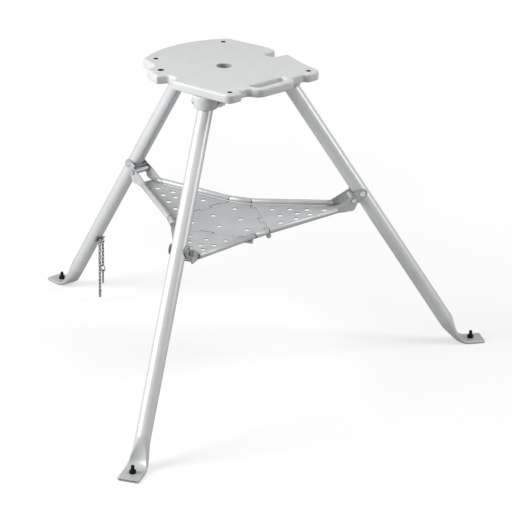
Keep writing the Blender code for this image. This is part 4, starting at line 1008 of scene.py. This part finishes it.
def add_hex(bm, across, low, high, bore=0.0):
    """Add a hexagon head or nut along Z, chamfered at both ends, solid or bored through."""
    corners = [Vector((math.cos(math.pi * k / 3), math.sin(math.pi * k / 3))) * across / math.sqrt(3)
               for k in range(7)]
    points = [a.lerp(b, i / HEX_STEPS) for a, b in zip(corners, corners[1:]) for i in range(HEX_STEPS)]
    land = across / 2 * HEX_LAND
    drop = [max(p.length - land, 0.0) * HEX_SLOPE for p in points]
    face = [p.normalized() * land for p in points]
    rings = [[(*p, low) for p in face], [(*p, low + d) for p, d in zip(points, drop)],
             [(*p, high - d) for p, d in zip(points, drop)], [(*p, high) for p in face]]
    if bore:
        wide = bore + NUT_CHAMFER
        wall = [(wide, high), (bore, high - NUT_CHAMFER), (bore, low + NUT_CHAMFER), (wide, low)]
        rings += [[(*(p.normalized() * r), z) for p in points] for r, z in wall]
    skin(bm, rings, loop=bool(bore))


def add_thread(bm, radius, pitch, low, high, plain):
    """Add a bolt's shank along Z: plain up to a height, then a helical thread with a chamfered end."""
    depth = pitch * THREAD_DEPTH
    count = int((high - plain) / pitch * THREAD_STEPS)
    rings = [[(radius * math.cos(a), radius * math.sin(a), z) for a in turns(ROUND_SIDES)]
             for z in (low, plain)]
    for k in range(1, count + 1):
        z = plain + (high - plain) * k / count
        left = min(1.0, (high - z) / pitch)
        fade = min(left, k / THREAD_STEPS)
        ring = []
        for a in turns(ROUND_SIDES):
            wave = abs(((z - plain) / pitch - a / (2 * math.pi)) % 1.0 * 2 - 1)
            cut = radius - depth * wave * fade - depth * (1 - left)
            ring.append((cut * math.cos(a), cut * math.sin(a), z))
        rings.append(ring)
    skin(bm, rings)


class STAND_OT_leg_bolts(Operator):
    """Build the bolts that the legs turn on, and their nuts"""
    bl_idname = "stand.leg_bolts"
    bl_label = "Build Leg Bolts"

    def execute(self, context):
        sizes = context.scene.stand_fixing
        surface = zinc_plate(sizes)
        seat = context.scene.stand_plate.hood_radius + SEAT
        end = seat + LEG_NUT + LEG_SPARE
        places = [leg_place(name) @ turned(-90, "X") for name in LEGS]
        bolt = bmesh.new()
        add_hex(bolt, sizes.leg_across, -seat - LEG_HEAD, -seat)
        add_thread(bolt, sizes.leg_bolt, sizes.pitch, -seat - LEG_HEAD / 2, end, seat - LEG_THREAD)
        nut = bmesh.new()
        add_hex(nut, sizes.leg_across, seat, seat + LEG_NUT, sizes.leg_bolt + SEAT)
        for kind, bm in (("leg_bolt", bolt), ("leg_nut", nut)):
            set_out(kind + "s", bm, places, surface, "plate", "zinc_fastener",
                    *[kind + "_" + name for name in LEGS])
        return {"FINISHED"}


class STAND_OT_foot_bolts(Operator):
    """Build the black bolt and nut in each foot"""
    bl_idname = "stand.foot_bolts"
    bl_label = "Build Foot Bolts"

    def execute(self, context):
        sizes = context.scene.stand_fixing
        surface = black_oxide(sizes)
        for name in LEGS:
            low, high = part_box("foot_bolt_" + name)
            nut_low, nut_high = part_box("foot_nut_" + name)
            place = leg_place(name)
            place.translation = Vector(((low.x + high.x) / 2, (low.y + high.y) / 2, 0.0))
            bolt = bmesh.new()
            head = [(FOOT_HEAD - FOOT_HEAD_EDGE, low.z), (FOOT_HEAD, low.z + FOOT_HEAD_EDGE),
                    (sizes.foot_bolt, low.z + FOOT_HEAD - sizes.foot_bolt)]
            lathe(bolt, head, Matrix.Identity(4))
            add_thread(bolt, sizes.foot_bolt, sizes.pitch, low.z + FOOT_LAP, high.z, nut_low.z + FOOT_LAP)
            nut = bmesh.new()
            add_hex(nut, sizes.foot_across, nut_low.z, nut_high.z, sizes.foot_bolt + SEAT)
            for piece, node, bm in (("foot_stud_", "foot_bolt_", bolt), ("foot_hex_", "foot_nut_", nut)):
                set_out(piece + name, bm, [place], surface, "leg_" + name, "black_fastener", node + name)
        return {"FINISHED"}


class STAND_OT_brackets(Operator):
    """Build the channel brackets on the legs with their barrels and rivets"""
    bl_idname = "stand.brackets"
    bl_label = "Build Brackets"

    def execute(self, context):
        sizes = context.scene.stand_fixing
        legs = context.scene.stand_leg
        zinc = zinc_plate(sizes)
        enamel = sheet_enamel(context.scene.stand_tray, "bracket", 0.0)
        half = context.scene.stand_tray.ear_inner - SEAT
        edge = sizes.edge
        soft = edge * BRACKET_CORNER
        points = circle(0.0, 0.0, sizes.arm_eye)
        for along in (soft - sizes.web_half, sizes.web_half - soft):
            points += circle(along, sizes.arm_outer - soft, soft, WIRE_SIDES)
        arm = hull(points)
        wide = sizes.arm_outer - edge
        long = sizes.web_half - WEB_SET[2]
        web = rounded_box(-long, long, -wide, wide, soft)
        outer = sizes.barrel_radius
        bore = sizes.barrel_bore
        barrel = [(outer, edge - half), (outer, half - edge), (outer - edge, half), (bore + edge, half),
                  (bore, half - edge), (bore, edge - half), (bore + edge, -half), (outer - edge, -half)]
        seat = sizes.arm_outer + SEAT
        rivet = mirrored([(RIVET_SHANK, seat)] + dome(sizes.rivet_head, seat, half - seat, RIVET_DOME))
        for name in LEGS:
            own = leg_place(name) @ leg_side(legs) @ moved(sizes.bracket_along, 0.0, 0.0)
            bm = bmesh.new()
            for low, high in both_sides(sizes.arm_inner, sizes.arm_outer):
                slab(bm, arm, low, high, edge, own)
            slab(bm, web, sizes.arm_inner + WEB_SET[0], sizes.arm_outer - WEB_SET[1], edge,
                 own @ turned(-90, "X"))
            lathe(bm, barrel, own @ moved(0.0, sizes.barrel_inward, 0.0), loop=True)
            add_piece("bracket_" + name, bm, enamel, "leg_" + name, "zinc_fastener", "tray_bracket_" + name)
            bm = bmesh.new()
            lathe(bm, rivet, Matrix.Identity(4))
            # Painted shade bands round the rivet's head
            mark_bands(bm, RIVET_SHADE_BANDS)
            set_out("bracket_pin_" + name, bm, [own], zinc, "leg_" + name, "zinc_fastener",
                    "bracket_rivet_" + name)
        return {"FINISHED"}


def stagger(sizes, side):
    """Points down a hinge line where the sheets interlock: the leaf's edge (1) or the centre's (-1)."""
    out = sizes.curl - sizes.sheet / 2
    levels = [0.0, -out, out, -out, out, -out, 0.0]
    gap = sizes.split / 2
    points = []
    for end, above, below in zip(TAB_ENDS, levels, levels[1:]):
        shift = end + side * gap * (1 if below > above else -1)
        points += [(above + side * gap, shift), (below + side * gap, shift)]
    return points


def rim_profile(sizes, less):
    """Outline of a rolled rim, some of its outer radius less: sheet turned up, over and nearly back down."""
    radius = sizes.rim_radius
    middle = radius - sizes.rim_in
    base = sizes.rise + radius
    end = 180 + math.degrees(math.asin((radius - sizes.sheet - sizes.rim_gap) / radius))
    outer = arc(middle, base, radius - less, -90, end, ROLL_STEPS)
    inner = arc(middle, base, radius - sizes.sheet, -90, end, ROLL_STEPS)
    return outer + inner[::-1]


def add_rim(bm, sizes, spot, along, outward, cuts, place, last):
    """Add a rolled rim beside a line through a spot, cut off at two planes, with painted shade at both ends.
    """
    (first_spot, one), (last_spot, other) = cuts
    way = along * math.copysign(RIM_LIP, (last_spot - first_spot).dot(along))
    start = len(bm.faces)
    rings = []
    for where, normal, less in ((first_spot, one, RIM_LIP / 2), (first_spot + way, one, 0.0),
                                (last_spot - way, other, 0.0), (last_spot, other, RIM_LIP / 2)):
        ring = []
        for reach, height in rim_profile(sizes, less):
            foot = spot + outward * reach
            point = foot + along * ((where - foot).dot(normal) / along.dot(normal))
            ring.append(place @ Vector((*point, height)))
        rings.append(ring)
    skin(bm, rings)
    # Painted shade on the rim's first end and, by the given amount, on its last end
    for k, amount in enumerate((PAINTED_SHADE["rim_end"], 0.0, last)):
        mark(bm, start + k * len(rings[0]), amount)


def add_curl(bm, sizes, low, high, side, place):
    """Add a hinge curl: a tab of sheet that turns down past the hinge line and wraps round the pin."""
    half = sizes.sheet / 2
    radius = sizes.curl - half
    level = sizes.rise + half - CURL_SET
    line = [(radius * CURL_TAB, level)] + arc(CURL_BEND - radius, level - CURL_BEND, CURL_BEND, 90, 180)
    line += arc(0.0, 0.0, radius, *CURL_SWEEP, CURL_STEPS)
    left = []
    right = []
    for i, here in enumerate(line):
        way = Vector(line[min(i + 1, len(line) - 1)]) - Vector(line[max(i - 1, 0)])
        normal = Vector((-way.y, way.x)).normalized() * half
        left.append(Vector(here) + normal)
        right.append(Vector(here) - normal)
    outline = left + right[::-1]
    skin(bm, [[place @ Vector((side * p.x, y, p.y)) for p in outline] for y in (low, high)])


def leaf_side(sizes, end, side):
    """A leaf's rim line on one side, as a spot and two directions, and its sheet's three corners there."""
    narrow = sizes.ear_outer - LAP
    spot = Vector((0.0, side * sizes.hinge_half))
    along = (Vector((end - LEAF_NECK, side * narrow)) - spot).normalized()
    outward = Vector((-along.y, along.x)) * side
    inner = spot - outward * (sizes.rim_in - sizes.sheet / 2)
    hinge = inner + along * ((sizes.split / 2 - inner.x) / along.x)
    waist = inner + along * ((side * narrow - inner.y) / along.y)
    return (spot, along, outward), [hinge, waist, Vector((end, side * narrow))]


class STAND_OT_leaves(Operator):
    """Build the three tray leaves with their punched holes, rolled rims, ears and hinge curls"""
    bl_idname = "stand.leaves"
    bl_label = "Build Leaves"

    def execute(self, context):
        sizes = context.scene.stand_tray
        fixing = context.scene.stand_fixing
        zinc = zinc_plate(fixing)
        barrel = Vector((fixing.bracket_along, fixing.barrel_inward, 0.0))
        barrel = leg_side(context.scene.stand_leg) @ barrel
        across = Vector((1.0, 0.0))
        inner = sizes.curl - sizes.sheet
        for name in LEGS:
            place = joint_place("leaf_fold_" + name, sizes.slope)
            pivot = place.inverted() @ leg_place(name) @ barrel
            out = place.to_quaternion() @ Vector((1.0, 0.0, 0.0))
            surface = sheet_enamel(sizes, name, math.atan2(out.y, out.x))
            end = pivot.x - sizes.end_gap
            (one, corners), (other, far_corners) = (leaf_side(sizes, end, side) for side in (-1, 1))
            outline = corners + far_corners[::-1] + [Vector(point) for point in stagger(sizes, 1)]
            bm = punched_sheet(outline, LEAF_HOLES, sizes, surface, place)
            cuts = [(Vector((RIM_CUT, 0.0)), across), (Vector((end - RIM_END, 0.0)), across)]
            for line in (one, other):
                add_rim(bm, sizes, *line, cuts, place, PAINTED_SHADE["ear_end"])
            points = [Vector((end - EAR_FOOT, sizes.rise + z)) for z in (sizes.sheet / 2, EAR_FOOT_TALL)]
            points += circle(pivot.x - CHIN[0], sizes.rise + CHIN[1], CHIN[2])
            points += circle(pivot.x, pivot.z, sizes.ear_round)
            ear = hull(points)
            for low, high in both_sides(sizes.ear_inner, sizes.ear_outer):
                slab(bm, ear, low, high, sizes.ear_edge, place @ turned(90, "X"))
            for low, high in LEAF_CURLS:
                add_curl(bm, sizes, low, high, 1, place)
            for low, high in END_CURLS:
                ring = [(sizes.curl, low), (sizes.curl, high), (inner, high), (inner, low)]
                lathe(bm, ring, place @ turned(-90, "X"), loop=True)
            add_piece("leaf_" + name, bm, surface, "leaf_" + name, "tray_sheet", "tray_leaf_" + name)
            self.rivets(name, place @ Matrix.Translation(pivot), sizes, fixing.ear_head, zinc)
        return {"FINISHED"}

    def rivets(self, name, spot, sizes, radius, surface):
        """Add the rivets in a leaf's two ears."""
        thick = sizes.ear_outer - sizes.ear_inner
        top = thick + EAR_HEAD_TALL
        edge = EAR_HEAD_EDGE
        rim, floor, deep = EAR_DIMPLE
        profile = [(EAR_SHANK, LAP), (EAR_SHANK, thick), (radius - edge / 2, thick + LAP / 2),
                   (radius, thick + LAP * 2)]
        profile += arc(radius - edge, top - edge, edge, 0, 90)
        profile += [(radius * rim, top), (radius * floor, top - deep), (EAR_MIDDLE, top - edge)]
        bm = bmesh.new()
        lathe(bm, profile, Matrix.Identity(4))
        # Painted shade bands round the head's edge and in the dimple
        mark_bands(bm, EAR_SHADE_BANDS)
        places = [spot @ moved(0.0, side * sizes.ear_inner, 0.0) @ turned(-90 * side, "X")
                  for side in (-1, 1)]
        set_out("ear_rivets_" + name, bm, places, surface, "leaf_" + name, "zinc_fastener",
                "pivot_rivet_%s_a" % name, "pivot_rivet_%s_b" % name)


class STAND_OT_centre(Operator):
    """Build the tray's flat middle with its rims and curls, and the hinge pins"""
    bl_idname = "stand.centre"
    bl_label = "Build Tray Centre"

    def execute(self, context):
        sizes = context.scene.stand_tray
        axis = stand_axis()
        hinge = JOINTS["leaf_fold_rear"]
        apart = (hinge - axis).to_2d().length
        sixth = math.radians(60)
        place = moved(axis.x, axis.y, hinge.z)
        gap = sizes.split / 2
        half = sizes.hinge_half - (sizes.rim_in - sizes.sheet / 2) / math.sin(sixth)
        line = [(-gap, half), *stagger(sizes, -1), (-gap, -half)]
        outline = []
        holes = []
        rims = []
        for name in LEGS:
            turn = joint_place("leaf_fold_" + name).to_3x3().to_4x4()
            outline += [(turn @ Vector((apart + x, y, 0.0))).to_2d() for x, y in line[::-1]]
            holes += [(turn @ Vector((x, 0.0, 0.0))).to_2d() for x in CENTRE_HOLES]
            corner = (turn @ Vector((apart, sizes.hinge_half, 0.0))).to_2d()
            outward = (turn @ Vector((math.cos(sixth), math.sin(sixth), 0.0))).to_2d()
            cuts = []
            for swing in (0, 2 * sixth):
                normal = (turn @ Matrix.Rotation(swing, 4, "Z") @ Vector((1.0, 0.0, 0.0))).to_2d()
                cuts.append((normal * (apart - RIM_CUT), normal))
            rims.append((corner, Vector((-outward.y, outward.x)), outward, cuts))
        surface = sheet_enamel(sizes, "centre", 0.0)
        bm = punched_sheet(outline, holes, sizes, surface, place)
        for rim in rims:
            add_rim(bm, sizes, *rim, place, PAINTED_SHADE["rim_end"])
        for name in LEGS:
            for low, high in CENTRE_CURLS:
                add_curl(bm, sizes, low, high, -1, joint_place("leaf_fold_" + name))
        add_piece("tray_middle", bm, surface, "tray", "tray_sheet", "tray_centre")
        zinc = zinc_plate(context.scene.stand_fixing)
        back, tall = HINGE_PIN_END
        head = dome(HINGE_PIN, sizes.hinge_half - back - tall, tall, HINGE_PIN_DOME)
        bm = bmesh.new()
        lathe(bm, mirrored(head), Matrix.Identity(4))
        places = [joint_place("leaf_fold_" + name) @ turned(90, "X") for name in LEGS]
        set_out("hinge_rods", bm, places, zinc, "tray", "zinc_fastener",
                *["hinge_pin_" + name for name in LEGS])
        return {"FINISHED"}


def add_ring(bm, radius, wire, place):
    """Add a ring of round wire about the Z axis of a place."""
    section = [(radius + wire * math.cos(a), wire * math.sin(a)) for a in turns(WIRE_SIDES)]
    lathe(bm, section, place, ROUND_SIDES, loop=True)


def box_middle(node):
    """Middle of a CAD node."""
    low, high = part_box(node)
    return (low + high) / 2


def across_turn(node):
    """Turn of a ring that stands upright in the plane of a CAD node."""
    low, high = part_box(node)
    return turned(90, "Y") if high.x - low.x < high.y - low.y else turned(90, "X")


class STAND_OT_chain(Operator):
    """Build the chain, its eye plate, the pull ring, the locking pin and the end bar"""
    bl_idname = "stand.chain"
    bl_label = "Build Chain"

    def execute(self, context):
        sizes = context.scene.stand_chain
        surface = dull_zinc(sizes)
        for run in ("short", "long"):
            nodes = sorted(name for name in frame["nodes"] if name.startswith("chain_link_" + run))
            first = box_middle(nodes[0])
            pitch = (first - box_middle(nodes[-1])).z / (len(nodes) - 1)
            low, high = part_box(nodes[0])
            turn = 0.0 if high.x - low.x > high.y - low.y else math.pi / 2
            mesh = grown(TREES["link_run"], bpy.data.meshes.new("start"), {
                "Count": len(nodes), "Pitch": pitch, "Wire": sizes.wire, "Width": sizes.width,
                "Length": sizes.length, "First Turn": turn, "Material": surface})
            mesh.transform(Matrix.Translation(first))
            mesh.shade_smooth()
            add_piece("links_" + run, mesh, surface, "chain", "zinc_fastener", *nodes)
        low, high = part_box("pull_ring")
        bm = bmesh.new()
        add_ring(bm, (high.z - low.z) / 2 - sizes.ring_wire, sizes.ring_wire,
                 Matrix.Translation((low + high) / 2) @ across_turn("pull_ring"))
        add_piece("ring", bm, surface, "chain", "zinc_fastener", "pull_ring")
        self.pin("locking_pin", "lock_pin", sizes.pin_radius, LOCK_GROOVE, sizes, surface)
        self.pin("chain_end_bar", "end_bar", sizes.bar_radius, (), sizes, surface)
        self.eye(context, sizes, surface)
        return {"FINISHED"}

    def pin(self, node, name, radius, groove, sizes, surface):
        """Add a pin that hangs by an eye of wire."""
        low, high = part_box(node)
        middle = (low + high) / 2
        top = high.z - sizes.eye_wire - sizes.eye_radius
        shoulder = top - sizes.eye_radius
        neck, narrow = LOCK_NECK
        profile = dome(radius, low.z + radius, -radius, LOCK_DOME)
        profile += [(radius * share, low.z + z) for z, share in groove]
        profile += [(radius, shoulder - neck), (radius * narrow, shoulder + neck)]
        bm = bmesh.new()
        add_ring(bm, sizes.eye_radius, sizes.eye_wire, moved(middle.x, middle.y, top) @ across_turn(node))
        lathe(bm, profile, moved(middle.x, middle.y, 0.0))
        add_piece(name, bm, surface, "chain", "zinc_fastener", node)

    def eye(self, context, sizes, surface):
        """Add the plate on the rear leg with its two eyes."""
        legs = context.scene.stand_leg
        own = leg_place("rear") @ leg_side(legs)
        centre = own.inverted() @ JOINTS["chain_swing"]
        tall, wide, thick = EYE_PLATE
        low = legs.radius + SEAT
        top = low + thick
        flat = own @ moved(centre.x, 0.0, 0.0) @ turned(-90, "X")
        bm = bmesh.new()
        slab(bm, rounded_box(-tall, tall, -wide, wide, EYE_CORNER), low, top, EYE_EDGE, flat)
        for side in (-1, 1):
            stud = [(r, top + z) for r, z in EYE_STUD]
            lathe(bm, stud, flat @ moved(0.0, side * (wide - EYE_STUD_IN), 0.0))
            spot = own @ Vector((centre.x, centre.y, side * EYE_APART))
            add_ring(bm, EYE_RING, sizes.ring_wire, Matrix.Translation(spot) @ turned(90, "Y"))
        add_piece("eye_plate", bm, surface, "leg_rear", "zinc_fastener", "chain_eye")


def add_lamp(name, place, aim, wide, power):
    """Add a square soft lamp that faces a point."""
    lamp = bpy.data.lights.new(name, "AREA")
    lamp.size = wide
    lamp.energy = power
    holder = add_object(name, lamp)
    holder.location = place
    holder.rotation_mode = "QUATERNION"
    holder.rotation_quaternion = (aim - place).to_track_quat("-Z", "Y")


def seen_rays(tree):
    """Value that is 1 for a ray that the camera sees by, straight, in a mirror or through glass."""
    path = add_node(tree, "ShaderNodeLightPath").outputs
    plain = add_node(tree, "ShaderNodeMath", {0: path["Is Camera Ray"], 1: path["Is Glossy Ray"]},
                     operation="MAXIMUM")
    return add_node(tree, "ShaderNodeMath", {0: plain, 1: path["Is Transmission Ray"]}, operation="MAXIMUM")


def make_floor(sizes):
    """Grey paper floor: matt, takes the shadow, and is lifted to white where it is seen or mirrored.

    The paper's tooth of about 0.5 mm is drawn at 10 mm, because it would not show.
    """
    surface = coat("grey_paper_sweep", sizes.floor_light, sizes.floor_dark, blotch=0.4, rough=(0.85, 0.95),
                   grain=0.01, depth=0.00002, metallic=0.0)
    tree = surface.node_tree
    where = add_node(tree, "ShaderNodeTexCoord").outputs["Object"]
    away = add_node(tree, "ShaderNodeVectorMath", {0: where}, operation="LENGTH").outputs["Value"]
    white = add_node(tree, "ShaderNodeMapRange", {"Value": away, "From Min": LIFT_SPAN[0],
                                                  "From Max": LIFT_SPAN[1], "To Min": sizes.near_lift,
                                                  "To Max": sizes.far_lift})
    lift = add_node(tree, "ShaderNodeMath", {0: seen_rays(tree), 1: white}, operation="MULTIPLY")
    glow = add_node(tree, "ShaderNodeEmission", {"Strength": lift})
    both = add_node(tree, "ShaderNodeAddShader", {0: tree.nodes["Principled BSDF"], 1: glow})
    tree.links.new(both.outputs[0], tree.nodes["Material Output"].inputs["Surface"])
    bm = bmesh.new()
    bmesh.ops.create_grid(bm, x_segments=FLOOR_SQUARES, y_segments=FLOOR_SQUARES, size=sizes.floor_size / 2)
    mesh = bpy.data.meshes.new("floor")
    bm.to_mesh(mesh)
    bm.free()
    mesh.materials.append(surface)
    floor = add_object("floor", mesh)
    floor.location = stand_axis() - Vector((0.0, 0.0, FLOOR_DROP))


def make_world(scene, sizes):
    """White surroundings where they are seen or mirrored, and an even dimmer light from all round."""
    scene.world = bpy.data.worlds.new("studio")
    scene.world.use_nodes = True
    tree = scene.world.node_tree
    level = add_node(tree, "ShaderNodeMapRange", {"Value": seen_rays(tree), "To Min": sizes.fill,
                                                  "To Max": 1.0})
    back = tree.nodes["Background"]
    back.inputs["Color"].default_value = linear("#FFFFFF")
    tree.links.new(level.outputs[0], back.inputs["Strength"])


class STAND_OT_stage(Operator):
    """Build the floor, the lamps, the white surroundings and the camera"""
    bl_idname = "stand.stage"
    bl_label = "Build Stage"

    def execute(self, context):
        sizes = context.scene.stand_stage
        make_floor(sizes)
        make_world(context.scene, sizes)
        right = Vector((math.cos(sizes.azimuth), math.sin(sizes.azimuth), 0.0))
        near = Vector((math.sin(sizes.azimuth), -math.cos(sizes.azimuth), 0.0))
        up = Vector((0.0, 0.0, 1.0))
        middle = stand_axis() + up * sizes.aim_height
        for name, ((beside, nearer, above), wide) in LAMPS.items():
            place = middle + right * beside + near * nearer + up * above
            add_lamp(name + "_lamp", place, middle, wide, getattr(sizes, name + "_power"))
        back = near * math.cos(sizes.elevation) + up * math.sin(sizes.elevation)
        lens = bpy.data.cameras.new("camera")
        lens.lens = sizes.lens
        lens.clip_end = sizes.floor_size * 2
        camera = add_object("camera", lens)
        camera.rotation_mode = "QUATERNION"
        tilt = Matrix.Rotation(sizes.roll, 3, "Z").to_quaternion()
        camera.rotation_quaternion = (-back).to_track_quat("-Z", "Y") @ tilt
        camera.location = middle + right * sizes.aim_right + back * sizes.distance
        context.scene.camera = camera
        context.scene.view_settings.view_transform = "Standard"
        return {"FINISHED"}


class STAND_PT_panel(Panel):
    """Sizes of the stand and its stage"""
    bl_label = "Stand"
    bl_idname = "STAND_PT_panel"
    bl_space_type = "VIEW_3D"
    bl_region_type = "UI"
    bl_category = "Stand"

    def draw(self, context):
        for operator in OPERATORS:
            self.layout.operator(operator.bl_idname)
        for key, kind in GROUPS.items():
            box = self.layout.box()
            box.label(text=kind.__doc__)
            for entry in kind.__annotations__:
                box.prop(getattr(context.scene, key), entry)


GROUPS = {"stand_plate": StandPlate, "stand_leg": StandLeg, "stand_tray": StandTray,
          "stand_fixing": StandFixing, "stand_chain": StandChain, "stand_stage": StandStage}
OPERATORS = [STAND_OT_plate, STAND_OT_legs, STAND_OT_leg_bolts, STAND_OT_foot_bolts, STAND_OT_brackets,
             STAND_OT_centre, STAND_OT_leaves, STAND_OT_chain, STAND_OT_stage]
TREES = {}


def register():
    """Add the classes, and the sizes to the scene."""
    for key, group in GROUPS.items():
        bpy.utils.register_class(group)
        setattr(bpy.types.Scene, key, PointerProperty(type=group))
    for kind in [*OPERATORS, STAND_PT_panel]:
        bpy.utils.register_class(kind)


def unregister():
    """Take the classes and the sizes away again."""
    for kind in [STAND_PT_panel, *reversed(OPERATORS)]:
        bpy.utils.unregister_class(kind)
    for key, group in GROUPS.items():
        delattr(bpy.types.Scene, key)
        bpy.utils.unregister_class(group)


def main():
    """Build the stand and its stage."""
    register()
    TREES.update(punched_sheet=punched_sheet_tree(), link_run=link_run_tree(), set_out=set_out_tree())
    bpy.ops.stand.plate()
    bpy.ops.stand.legs()
    bpy.ops.stand.leg_bolts()
    bpy.ops.stand.foot_bolts()
    bpy.ops.stand.brackets()
    bpy.ops.stand.centre()
    bpy.ops.stand.leaves()
    bpy.ops.stand.chain()
    bpy.ops.stand.stage()


if __name__ == "__main__":
    main()
